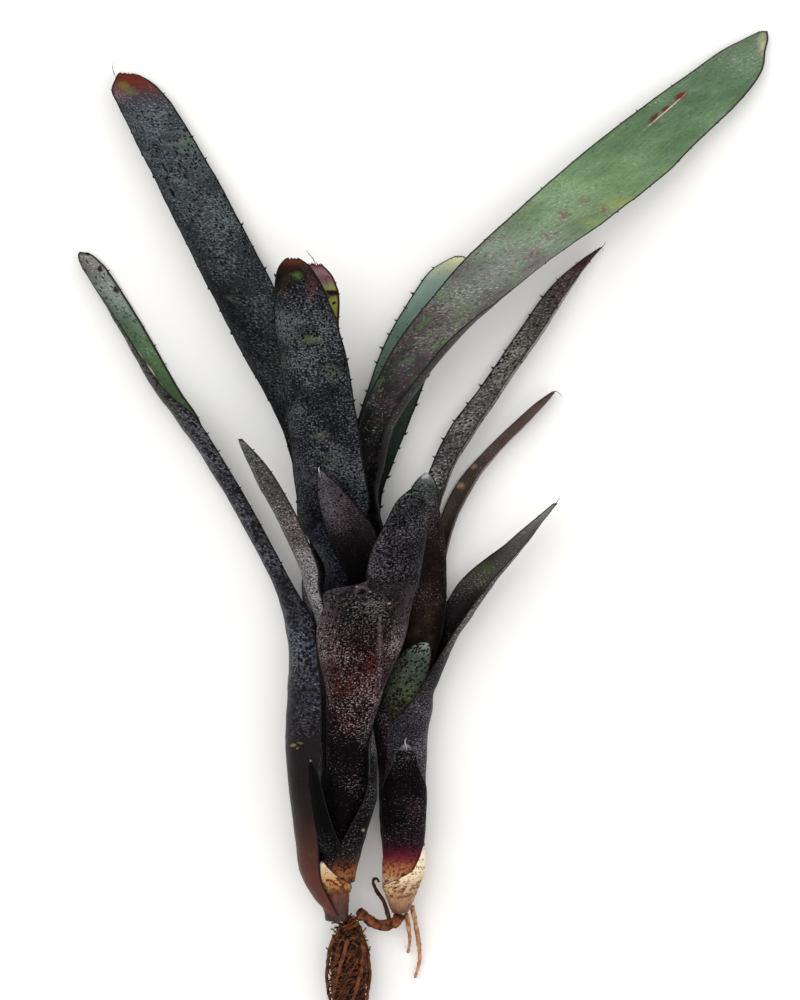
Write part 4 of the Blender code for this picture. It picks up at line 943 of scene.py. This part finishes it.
def root_tree():
    """A root along a line: wandering, knobbly, tapered to its end, with short hairs off its sides."""
    tree, add, given = new_tree("root", {
        "Route": "Geometry", "Radius": "Float", "Taper": "Float", "Wander": "Float", "Knobs": "Float",
        "Knob Size": ("Float", 1.4 * MM), "Step": ("Float", 0.3 * MM), "Sides": ("Int", 10), "Hairs": "Int",
        "Seed": "Float", "Material": "Material"}, {"Root": "Geometry"})
    route = add("GeometryNodeMeshToCurve", {"Mesh": given["Route"]})[0]
    fine = add("GeometryNodeResampleCurve", {"Curve": route, "Length": given["Step"]}, mode="LENGTH")[0]
    here = add("GeometryNodeInputPosition")[0]
    drift = add("ShaderNodeTexNoise", {"Vector": here, "W": given["Seed"], "Scale": 220, "Detail": 2},
                noise_dimensions="4D")["Color"]
    drift = add("ShaderNodeVectorMath", {0: drift, 1: (0.5, 0.5, 0.5)}, operation="SUBTRACT")[0]
    drift = add("ShaderNodeVectorMath", {0: drift, "Scale": given["Wander"]}, operation="SCALE")[0]
    fine = add("GeometryNodeSetPosition", {"Geometry": fine, "Offset": drift})[0]
    knob_scale = add("ShaderNodeMath", {0: 1, 1: given["Knob Size"]}, operation="DIVIDE")[0]
    _, knob = uneven(add, {"Vector": here, "W": given["Seed"], "Scale": knob_scale, "Detail": 3}, 0.2, -1, 1,
                     noise_dimensions="4D")
    share = add("GeometryNodeSplineParameter")["Factor"]
    taper = add("ShaderNodeMapRange", {
        "Value": share, "From Min": 0.3, "From Max": 1, "To Min": 1, "To Max": given["Taper"]})[0]
    width = add("ShaderNodeMath", {0: knob, 1: given["Knobs"], 2: taper}, operation="MULTIPLY_ADD")[0]
    sized = add("GeometryNodeSetCurveRadius", {"Curve": fine, "Radius": width})[0]
    ring = add("GeometryNodeCurvePrimitiveCircle", {
        "Resolution": given["Sides"], "Radius": given["Radius"]}, mode="RADIUS")[0]
    body = add("GeometryNodeCurveToMesh", {
        "Curve": sized, "Profile Curve": ring, "Scale": width, "Fill Caps": True})[0]

    # Hairs: thin curved cones that leave the root at any angle
    stands = add("GeometryNodeResampleCurve", {"Curve": fine, "Count": given["Hairs"]}, mode="COUNT")[0]
    hair = bowed_cone(add, 4, 5, HAIR_TIP, HAIR_FOOT * MM, HAIR_LENGTH * MM, 1)
    turn = add("FunctionNodeRandomValue", {"Min": (-3, -3, -3), "Max": (3, 3, 3), "Seed": HAIR_SEED},
               data_type="FLOAT_VECTOR")[0]
    hairs = add("GeometryNodeInstanceOnPoints", {"Points": stands, "Instance": hair, "Rotation": turn})[0]
    both = add("GeometryNodeJoinGeometry", {"Geometry": [body, hairs]})[0]
    real = above_floor(add, add("GeometryNodeRealizeInstances", {"Geometry": both})[0])
    smooth = add("GeometryNodeSetShadeSmooth", {"Geometry": real, "Shade Smooth": True})[0]
    painted = add("GeometryNodeSetMaterial", {"Geometry": smooth, "Material": given["Material"]})[0]
    add("NodeGroupOutput", {0: painted})
    return tree


def root_mat_tree():
    """A mat of old roots over a core: short bowed strands laid on its surface at random."""
    tree, add, given = new_tree("root_mat", {
        "Core": "Geometry", "Density": "Float", "Length": "Float", "Radius": "Float", "Bow": "Float",
        "Seed": "Int", "Core Material": "Material", "Material": "Material"}, {"Mat": "Geometry"})
    spread = add("GeometryNodeDistributePointsOnFaces", {
        "Mesh": given["Core"], "Density": given["Density"], "Seed": given["Seed"]})
    half = add("ShaderNodeMath", {0: given["Length"], 1: 0.5}, operation="MULTIPLY")[0]
    start, end = [add("ShaderNodeVectorMath", {0: (side, 0, 0), "Scale": half}, operation="SCALE")[0]
                  for side in (-1, 1)]
    line = add("GeometryNodeCurvePrimitiveLine", {"Start": start, "End": end})[0]
    line = add("GeometryNodeResampleCurve", {"Curve": line, "Count": 9}, mode="COUNT")[0]

    # A strand winds from side to side, and its ends dip to follow the ball
    share = add("GeometryNodeSplineParameter")["Factor"]
    swing = add("ShaderNodeMath", {0: share, 1: 5.5}, operation="MULTIPLY")[0]
    swing = add("ShaderNodeMath", {0: swing}, operation="SINE")[0]
    swing = add("ShaderNodeMath", {0: swing, 1: given["Bow"]}, operation="MULTIPLY")[0]
    dip = share
    for operation, by in (
            ("SUBTRACT", 0.5), ("POWER", 2), ("MULTIPLY", given["Length"]), ("MULTIPLY", -1.1)):
        dip = add("ShaderNodeMath", {0: dip, 1: by}, operation=operation)[0]
    bend = add("ShaderNodeCombineXYZ", {"Y": swing, "Z": dip})[0]
    line = add("GeometryNodeSetPosition", {"Geometry": line, "Offset": bend})[0]
    ring = add("GeometryNodeCurvePrimitiveCircle", {"Resolution": 5, "Radius": given["Radius"]},
               mode="RADIUS")[0]
    strand = add("GeometryNodeCurveToMesh", {"Curve": line, "Profile Curve": ring, "Fill Caps": True})[0]

    spin, size = [add("FunctionNodeRandomValue", {"Min": least, "Max": most, "Seed": given["Seed"]},
                      data_type="FLOAT")[1] for least, most in ((0, 6.28), STRAND_SIZES)]
    spin = add("ShaderNodeCombineXYZ", {"Z": spin})[0]
    turned = add("FunctionNodeRotateRotation", {"Rotation": spread["Rotation"], "Rotate By": spin},
                 rotation_space="LOCAL")[0]
    strands = add("GeometryNodeInstanceOnPoints", {
        "Points": spread["Points"], "Instance": strand, "Rotation": turned, "Scale": size})[0]
    real = above_floor(add, add("GeometryNodeRealizeInstances", {"Geometry": strands})[0])
    mat, core = [add("GeometryNodeSetMaterial", {"Geometry": part, "Material": given[material]})[0]
                 for part, material in ((real, "Material"), (given["Core"], "Core Material"))]
    both = add("GeometryNodeJoinGeometry", {"Geometry": [mat, core]})[0]
    smooth = add("GeometryNodeSetShadeSmooth", {"Geometry": both, "Shade Smooth": True})[0]
    add("NodeGroupOutput", {0: smooth})
    return tree


# --- Materials -----------------------------------------------------------------------------------------

def new_material(name, roughness, specular):
    """A Principled material, with its node tree and its shader."""
    made = bpy.data.materials.new(name)
    made.use_nodes = True
    shader = made.node_tree.nodes["Principled BSDF"]
    shader.inputs["Roughness"].default_value = roughness
    shader.inputs["Specular IOR Level"].default_value = specular
    return made, partial(add_node, made.node_tree), shader


def cover_shader(add, shader, colour, relief, strength, depth):
    """Gives a shader its colour, and a relief so many mm deep as a bump."""
    bump = add("ShaderNodeBump", {"Strength": strength, "Distance": depth * MM, "Height": relief})[0]
    links = shader.id_data.links
    links.new(colour, shader.inputs["Base Color"])
    links.new(bump, shader.inputs["Normal"])


def along_plant(add, stops, dim=1):
    """A ramp along the plant's length, through stops that each hold a Y and a hex colour or a share."""
    place = add("ShaderNodeTexCoord")["Object"]
    y = add("ShaderNodeSeparateXYZ", {0: place})["Y"]
    first, last = stops[0][0], stops[-1][0]
    share = add("ShaderNodeMapRange", {"Value": y, "From Min": first * MM, "From Max": last * MM})[0]
    ramp = add("ShaderNodeValToRGB", {0: share})[0]
    elements = ramp.node.color_ramp.elements
    while len(elements) < len(stops):
        elements.new(0.5)
    for element, (at, value) in zip(elements, stops):
        element.position = (at - first) / (last - first)
        colour = linear(value)[:3] if isinstance(value, str) else (value, value, value)
        element.color = (*[part * dim for part in colour], 1)
    return ramp


def covered(add, pattern, cover, soft):
    """Where a noise pattern passes the level that leaves the wanted cover, as a mask with soft edges."""
    level = add("ShaderNodeMath", {0: cover, 1: -0.4, 2: 0.7}, operation="MULTIPLY_ADD")[0]
    full = add("ShaderNodeMath", {0: level, 1: soft}, operation="ADD")[0]
    return add("ShaderNodeMapRange", {"Value": pattern, "From Min": level, "From Max": full})[0]


def spot(add, on_leaf, x, y, reach_x, reach_y, turn, soft):
    """A ragged oval: its centre, its reach, its turn in degrees, and the width of its edge as a share."""
    place = add("ShaderNodeTexCoord")["Object"]
    offset = add("ShaderNodeVectorMath", {0: place, 1: (x * MM, y * MM, 0)}, operation="SUBTRACT")[0]
    cosine, sine = math.cos(math.radians(turn)), math.sin(math.radians(turn))
    shares = [add("ShaderNodeVectorMath", {0: offset, 1: tuple(part / (reach * MM) for part in axis)},
                  operation="DOT_PRODUCT")["Value"]
              for axis, reach in (((cosine, sine, 0), reach_x), ((-sine, cosine, 0), reach_y))]
    unit = add("ShaderNodeCombineXYZ", {"X": shares[0], "Y": shares[1]})[0]
    far = add("ShaderNodeVectorMath", {0: unit}, operation="LENGTH")["Value"]
    rough = add("ShaderNodeTexNoise", {"Vector": on_leaf, "Scale": 0.9, "Detail": 3})[0]
    far = add("ShaderNodeMath", {0: rough, 1: 1.4, 2: far}, operation="MULTIPLY_ADD")[0]
    return add("ShaderNodeMapRange", {
        "Value": far, "From Min": 1.7 - soft, "From Max": 1.7 + soft / 2, "To Min": 1, "To Max": 0})[0]


def leaf_skin(name, finish, seed):
    """Living bromeliad leaf: waxy, half-matt tissue under silver scales in short crosswise strokes.

    The scales turn the dark tissue to a dusty grey, and the gaps between them show it again as dots.
    """
    made, add, shader = new_material(name, 0.52, finish.get("gloss", 0.1))
    across, along, edge = [add("ShaderNodeAttribute", attribute_name=part)["Fac"]
                           for part in ("across", "along", "edge")]
    on_leaf = add("ShaderNodeCombineXYZ", {"X": across, "Y": along, "Z": float(seed * 7)})[0]

    # The layers over the tissue, from the lowest up: each a mask and a colour. One with no mask lightens and
    # darkens what lies under it, as the first does, a slow drift of lightness.
    cloud, drift = uneven(add, {"Vector": on_leaf, "Scale": 1 / CLOUD_SIZE, "Detail": 3}, 0.2, 0.78, 1.22)
    layers = [(None, drift)]
    for tint, size, cover, *soft in finish.get("patches", []):
        blot = add("ShaderNodeTexNoise", {
            "Vector": on_leaf, "Scale": 1 / size, "Detail": 3, "Roughness": 0.55})[0]
        layers.append((covered(add, blot, along_plant(add, cover), *(soft or [0.12])), tint))
    if "bands" in finish:
        tint, spacing, cover = finish["bands"]
        wide = add("ShaderNodeVectorMath", {0: on_leaf, 1: (0.06, 1 / spacing, 1)}, operation="MULTIPLY")[0]
        bar = add("ShaderNodeTexNoise", {"Vector": wide, "Scale": 1, "Detail": 3})[0]
        layers.append((covered(add, bar, along_plant(add, cover), 0.1), tint))
    if "streaks" in finish:
        depth = finish["streaks"]
        thin = add("ShaderNodeVectorMath", {0: on_leaf, 1: (1.6, 0.12, 1)}, operation="MULTIPLY")[0]
        _, light = uneven(add, {"Vector": thin, "Scale": 1, "Detail": 3}, 0.15, 1 - depth, 1 + depth)
        layers.append((None, light))
    for *place, tint in finish.get("stains", []):
        layers.append((spot(add, on_leaf, *place, 0, 1.2), tint))
    # Flanks: partly denser scales, partly painted sheen where the sides of a rolled leaf turn edge-on
    if "flanks" in finish:
        tint, near, far, most = finish["flanks"]
        side = add("ShaderNodeMath", {0: across}, operation="ABSOLUTE")[0]
        scales_and_sheen = add("ShaderNodeMapRange", {
            "Value": side, "From Min": near, "From Max": far, "To Max": most})[0]
        layers.append((scales_and_sheen, tint))
    height = cloud
    if "flecks" in finish:
        tint, size, cover = finish["flecks"]
        stroke = add("ShaderNodeVectorMath", {0: on_leaf, 1: (1.15 / size, 2 / size, 1)},
                     operation="MULTIPLY")[0]
        scales = add("ShaderNodeTexNoise", {
            "Vector": stroke, "Scale": 1, "Detail": 3, "Roughness": 0.7, "Distortion": 0.4})[0]
        thick = add("ShaderNodeMath", {0: cloud, 1: 0.35, 2: -0.175}, operation="MULTIPLY_ADD")[0]
        scales = add("ShaderNodeMath", {0: scales, 1: thick}, operation="ADD")[0]
        height = covered(add, scales, along_plant(add, cover), 0.16)
        layers.append((height, tint))
    if "pits" in finish:
        tint, spacing, share, *where = finish["pits"]
        cell = add("ShaderNodeTexVoronoi", {"Vector": on_leaf, "Scale": 1.6 / spacing}, feature="F1")
        reach = add("ShaderNodeSeparateColor", {0: cell["Color"]})[0]
        reach = add("ShaderNodeMath", {0: reach, 1: share}, operation="MULTIPLY")[0]
        inside = add("ShaderNodeMath", {0: reach, 1: cell["Distance"]}, operation="SUBTRACT")[0]
        pit = add("ShaderNodeMapRange", {"Value": inside, "From Min": -0.04, "From Max": 0.06})[0]
        for stops in where:
            pit = add("ShaderNodeMath", {0: pit, 1: along_plant(add, stops)}, operation="MULTIPLY")[0]
        layers.append((pit, tint))
    if "margin" in finish:
        tint, width = finish["margin"]
        line = add("ShaderNodeMapRange", {
            "Value": edge, "From Min": width * 0.5, "From Max": width * 1.3, "To Min": 1, "To Max": 0})[0]
        layers.append((line, tint))
    # Marks: hard spots and scars, and where a finish lists them, painted shade and painted highlights
    for *place, tint in finish.get("marks", []):
        layers.append((spot(add, on_leaf, *place, 0.4), tint))

    colour = along_plant(add, finish["colours"], finish.get("dim", 1))
    for mask, tint in layers:
        if mask is None:
            colour = add("ShaderNodeHueSaturation", {"Value": tint, "Color": colour})[0]
        else:
            tint = along_plant(add, tint) if isinstance(tint, list) else linear(tint)
            colour = add("ShaderNodeMix", {"Factor": mask, "A": colour, "B": tint}, data_type="RGBA")[2]

    # Veins run lengthwise under the scales, and each pit is a dimple
    ribs = add("ShaderNodeMath", {0: across, 1: 2 * math.pi / VEIN_SPACING}, operation="MULTIPLY")[0]
    ribs = add("ShaderNodeMath", {0: ribs}, operation="SINE")[0]
    relief = add("ShaderNodeMath", {0: ribs, 1: 0.15, 2: height}, operation="MULTIPLY_ADD")[0]
    if "pits" in finish:
        relief = add("ShaderNodeMath", {0: pit, 1: -0.8, 2: relief}, operation="MULTIPLY_ADD")[0]
    cover_shader(add, shader, colour, relief, 0.5, 0.12)
    shader.inputs["Sheen Weight"].default_value = finish.get("fuzz", 0.05)
    shader.inputs["Sheen Roughness"].default_value = 0.4
    return made


def spine_horn():
    """Leaf spine: hard dark horn, smooth, with a small gloss."""
    made, _, shader = new_material("spine_horn", 0.38, 0.3)
    shader.inputs["Base Color"].default_value = linear("#120c0b")
    return made


def root_bark(name, light, dark, rough=0.8):
    """Wiry root or runner: cracked brown bark, light on its ridges and dark in its folds, 2 mm apart."""
    made, add, shader = new_material(name, rough, 0.2)
    place = add("ShaderNodeTexCoord")["Object"]
    ridges, share = uneven(add, {"Vector": place, "Scale": 480, "Detail": 5, "Roughness": 0.65}, 0.12)
    colour = add("ShaderNodeMix", {"Factor": share, "A": linear(dark), "B": linear(light)},
                 data_type="RGBA")[2]
    cover_shader(add, shader, colour, ridges, 0.7, 0.15)
    return made


def stem_tissue(name, stops):
    """Fleshy stem: smooth, moist tissue in tan and pink, with pale fibres along it and dark specks."""
    made, add, shader = new_material(name, 0.45, 0.35)
    place = add("ShaderNodeTexCoord")["Object"]
    lengthwise = add("ShaderNodeVectorMath", {0: place, 1: (900, 160, 900)}, operation="MULTIPLY")[0]
    fibre, light = uneven(add, {"Vector": lengthwise, "Scale": 1, "Detail": 4}, 0.2, 0.6, 1.35)
    colour = add("ShaderNodeHueSaturation", {"Value": light, "Color": along_plant(add, stops)})[0]
    blotch = add("ShaderNodeTexNoise", {"Vector": place, "Scale": 700, "Detail": 4})[0]
    speck = add("ShaderNodeMapRange", {"Value": blotch, "From Min": 0.58, "From Max": 0.64})[0]
    colour = add("ShaderNodeMix", {"Factor": speck, "A": colour, "B": linear("#4a2413")},
                 data_type="RGBA")[2]
    cover_shader(add, shader, colour, fibre, 0.6, 0.15)
    return made


def painted_board():
    """The surface that the plant lies on: matt off-white paint, so it shows nothing but soft shadow."""
    made, _, shader = new_material("painted_board", 0.9, 0.1)
    shader.inputs["Base Color"].default_value = linear("#faf9f6")
    return made


# --- Pieces --------------------------------------------------------------------------------------------

def make_leaf(index, name, leaf, trees, horn):
    """A leaf and the spines of its two margins, grown on a line of sections: half width, facing and curl."""
    finish = {"face": PLAIN_SIDE, "back": PLAIN_SIDE, **FINISHES[name]}
    face, back = (leaf_skin(f"{name}_{side}", finish[side], index) for side in ("face", "back"))
    rows = smooth_rows(sheath_sections(leaf, SHOOTS[name.split("_")[0]]) + leaf["blade"], ROW)
    sections = np.column_stack([rows[:, 3] * MM, np.radians(rows[:, 4]), np.radians(rows[:, 5])])
    length = np.linalg.norm(np.diff(rows[:, :3], axis=0), axis=1).sum()
    tear, teeth = leaf.get("tear", (0, 1))
    blade = grow(name + "_blade", line_mesh(name, rows[:, :3], section=sections), trees["blade"], {
        "Columns": max(FEWEST_COLUMNS, round(2 * rows[:, 3].max() / COLUMN)), "Rows": round(length / ROW),
        "Thickness": BLADE_THICKNESS * MM, "Rim": RIM, "Wave": WAVE * MM, "Wave Size": WAVE_SIZE * MM,
        "Tear": tear * MM, "Teeth": float(teeth), "Seed": float(index), "Face": face, "Back": back})
    settle(blade, name)
    if "spines" not in leaf:
        return
    spacing, size = leaf["spines"]
    for side, number in (("left", 1), ("right", -1)):
        line = line_mesh(name, rows[:, :3], section=sections)
        spines = grow(f"{name}_spines_{side}", line, trees["spines"], {
            "Side": float(number), "Spacing": spacing * MM, "Length": size * MM,
            "Width": SPINE_WIDTH * size * MM, "Seed": index * 2 + number, "Material": horn})
        settle(spines)


def make_stem(name, stops):
    """A short stem, turned about the shoot's axis, with the ring scars of old leaves round its lower end."""
    shoot = SHOOTS[name.split("_")[0]]
    top = shoot["stem_top"]
    profile = [(radius, y, 0) for y, radius in shoot["bore"] if y < top]
    profile.append((read(shoot["bore"], top)[0] * STEM_TAPER, top, 0))
    body = bmesh.new()
    for radius, y, _ in smooth_rows(profile, STEM_STEP):
        x, z = read(shoot["axis"], y)
        scar = SCAR_DEPTH * max(0, math.sin(y * SCAR_TURN)) ** 3
        for vert in bmesh.ops.create_circle(body, segments=STEM_SIDES, radius=(radius - scar) * MM)["verts"]:
            lump = noise.noise(Vector((vert.co.x, y * MM, vert.co.y)) * STEM_DENT_SCALE)
            out = Vector((vert.co.x, 0, vert.co.y)) * (1 - STEM_DENTS * abs(lump))
            vert.co = out + Vector((x, y, z)) * MM
    bmesh.ops.bridge_loops(body, edges=body.edges)
    bmesh.ops.holes_fill(body, edges=body.edges, sides=STEM_SIDES)
    bmesh.ops.recalc_face_normals(body, faces=body.faces)
    data = bpy.data.meshes.new(name)
    body.to_mesh(data)
    body.free()
    data.shade_smooth()
    data.materials.append(stem_tissue(name + "_tissue", stops))
    settle(put(name + "_body", data), name)


def mass_shape(direction):
    """The root ball's surface in one direction from its centre, lumpy."""
    lump = noise.noise(direction * ROOT_MASS_LUMPINESS) * ROOT_MASS_LUMPS
    return Vector([axis * (radius + lump) for axis, radius in zip(direction, ROOT_MASS_RADII)])


def make_root_mass(tree, core_finish, strand_finish):
    """The ball of old roots: a dark core, rough to the touch, under a mat of strands."""
    ball = bmesh.new()
    bmesh.ops.create_icosphere(ball, subdivisions=6, radius=1)
    for vert in ball.verts:
        direction = vert.co.normalized()
        fine = 1 + CORE_ROUGHNESS * noise.fractal(direction * CORE_GRAIN, 1, 2, 4)
        vert.co = (mass_shape(direction) * CORE_SIZE * fine + Vector(ROOT_MASS_CENTRE)) * MM
    data = bpy.data.meshes.new("root_mass")
    ball.to_mesh(data)
    ball.free()
    mat = grow("root_mass_mat", data, tree, {
        "Density": MAT_STRANDS, "Length": MAT_LENGTH * MM, "Radius": MAT_RADIUS * MM, "Bow": MAT_BOW * MM,
        "Seed": MAT_SEED, "Core Material": core_finish, "Material": strand_finish})
    settle(mat, "root_mass")


def mass_root_route(index):
    """Down one side of the root ball, winding part of the way round it."""
    route = []
    for along in np.linspace(0, 1, MASS_ROOT_POINTS):
        polar = math.radians(np.interp(along, (0, 1), MASS_ROOT_SPAN))
        around = math.radians(360 * (index + 0.5) / MASS_ROOTS + MASS_ROOT_TURN * along)
        direction = Vector((
            math.sin(polar) * math.cos(around), math.cos(polar), math.sin(polar) * math.sin(around)))
        point = Vector([centre + part * (radius + MASS_ROOT_OUT)
                        for centre, part, radius in zip(ROOT_MASS_CENTRE, direction, ROOT_MASS_RADII)])
        point.z = max(point.z, MASS_ROOT_RADIUS + FLOOR_GAP)
        route.append(tuple(point))
    return route


def make_root(seed, name, route, radius, tree, finish, slot, **sizes):
    """A root or the stolon, along a route in mm. sizes replaces what the tree is given for any root."""
    root = grow(name + "_strand", line_mesh(name, smooth_rows(route, CORD_STEP)), tree, {
        "Radius": radius * MM, "Wander": 0.5 * MM, "Knobs": 0.22, "Taper": 0.55, "Hairs": 10,
        "Seed": float(seed), "Material": finish, **sizes})
    settle(root, name)


def make_wisp(name, route, tree, finish):
    """A dry thread of leaf fibre."""
    wisp = grow(f"wisp_{name}", line_mesh(name, smooth_rows(route, WISP_STEP)), tree, {
        "Radius": WISP_RADIUS * MM, "Taper": 0.3, "Wander": 0.1 * MM, "Knobs": 0.2, "Step": 0.2 * MM,
        "Sides": 6, "Hairs": 0, "Material": finish})
    settle(wisp)


def make_floor():
    """The surface that the plant lies on, wide enough for any view."""
    data = bpy.data.meshes.new("floor")
    sheet = bmesh.new()
    bmesh.ops.create_grid(sheet, x_segments=1, y_segments=1, size=FLOOR_REACH)
    sheet.to_mesh(data)
    sheet.free()
    data.materials.append(painted_board())
    put("floor", data)


def make_light(name, place, size, power):
    """A soft square light that points at the origin."""
    data = bpy.data.lights.new(name, "AREA")
    data.size = size
    data.energy = power
    light = put(name, data)
    light.location = place
    light.rotation_euler = (-Vector(place)).to_track_quat("-Z", "Y").to_euler()


def make_camera():
    """A camera that looks straight down, with its top towards the leaf tips."""
    data = bpy.data.cameras.new("camera")
    data.sensor_width = CAMERA_SENSOR
    data.lens = CAMERA_LENS
    camera = put("camera", data)
    camera.location = Vector(CAMERA_PLACE) * MM
    bpy.context.scene.camera = camera


make_camera()
make_floor()
for name, (place, size, power) in LIGHTS.items():
    make_light(name, place, size, power)
world = bpy.data.worlds.new("studio")
world.use_nodes = True
sky = world.node_tree.nodes["Background"]
sky.inputs["Color"].default_value = (1, 1, 1, 1)
sky.inputs["Strength"].default_value = SKY_STRENGTH
bpy.context.scene.world = world
bpy.context.scene.view_settings.view_transform = "Standard"

section_point = section_point_tree()
trees = {"blade": leaf_blade_tree(section_point), "spines": margin_spines_tree(section_point)}
horn = spine_horn()
for index, (name, leaf) in enumerate(LEAVES.items()):
    make_leaf(index, name, leaf, trees, horn)

make_stem("mother_stem", [
    (-118, "#2c1712"), (-113, "#48241a"), (-109, "#66341f"), (-104, "#85482c"), (-98, "#6d3f2c"),
    (-75, "#5a3a2c")])
make_stem("pup_stem", [
    (-116, "#5a3420"), (-112, "#9a6e52"), (-108, "#bd946f"), (-104, "#c08c62"), (-101, "#b06e48"),
    (-98, "#96503c"), (-79, "#5a2a24")])
root = root_tree()
pale = root_bark("pale_root_bark", "#c79b78", "#83512f")
dark = root_bark("dark_root_bark", "#4a2a1c", "#150b08")
brown = root_bark("brown_root_bark", "#7a4426", "#24120b")
make_root(STOLON_SEED, "stolon", STOLON_ROUTE, STOLON_RADIUS, root,
          root_bark("stolon_bark", "#8a4a2a", "#2a120a"), "stolon", Taper=0.9, Knobs=0.16, Hairs=26)
for index, (name, (radius, bark, route)) in enumerate(ROOTS.items()):
    make_root(FIRST_ROOT_SEED + index, name, route, radius, root, {"pale": pale, "dark": dark}[bark], "root")
for index in range(MASS_ROOTS):
    make_root(FIRST_MASS_ROOT_SEED + index, f"mother_root_{index + 1}", mass_root_route(index),
              MASS_ROOT_RADIUS, root, brown, "root", Wander=1.2 * MM)
dry = {
    True: root_bark("pale_wisp", "#f1efeb", "#cfcac3"),
    False: root_bark("dark_wisp", "#2b2220", "#120d0c")}
for name, (slot, is_pale, route) in WISPS.items():
    make_wisp(name, route, root, dry[is_pale])
make_root_mass(root_mat_tree(), root_bark("old_root_mat", "#1d120c", "#060403", 0.95), brown)
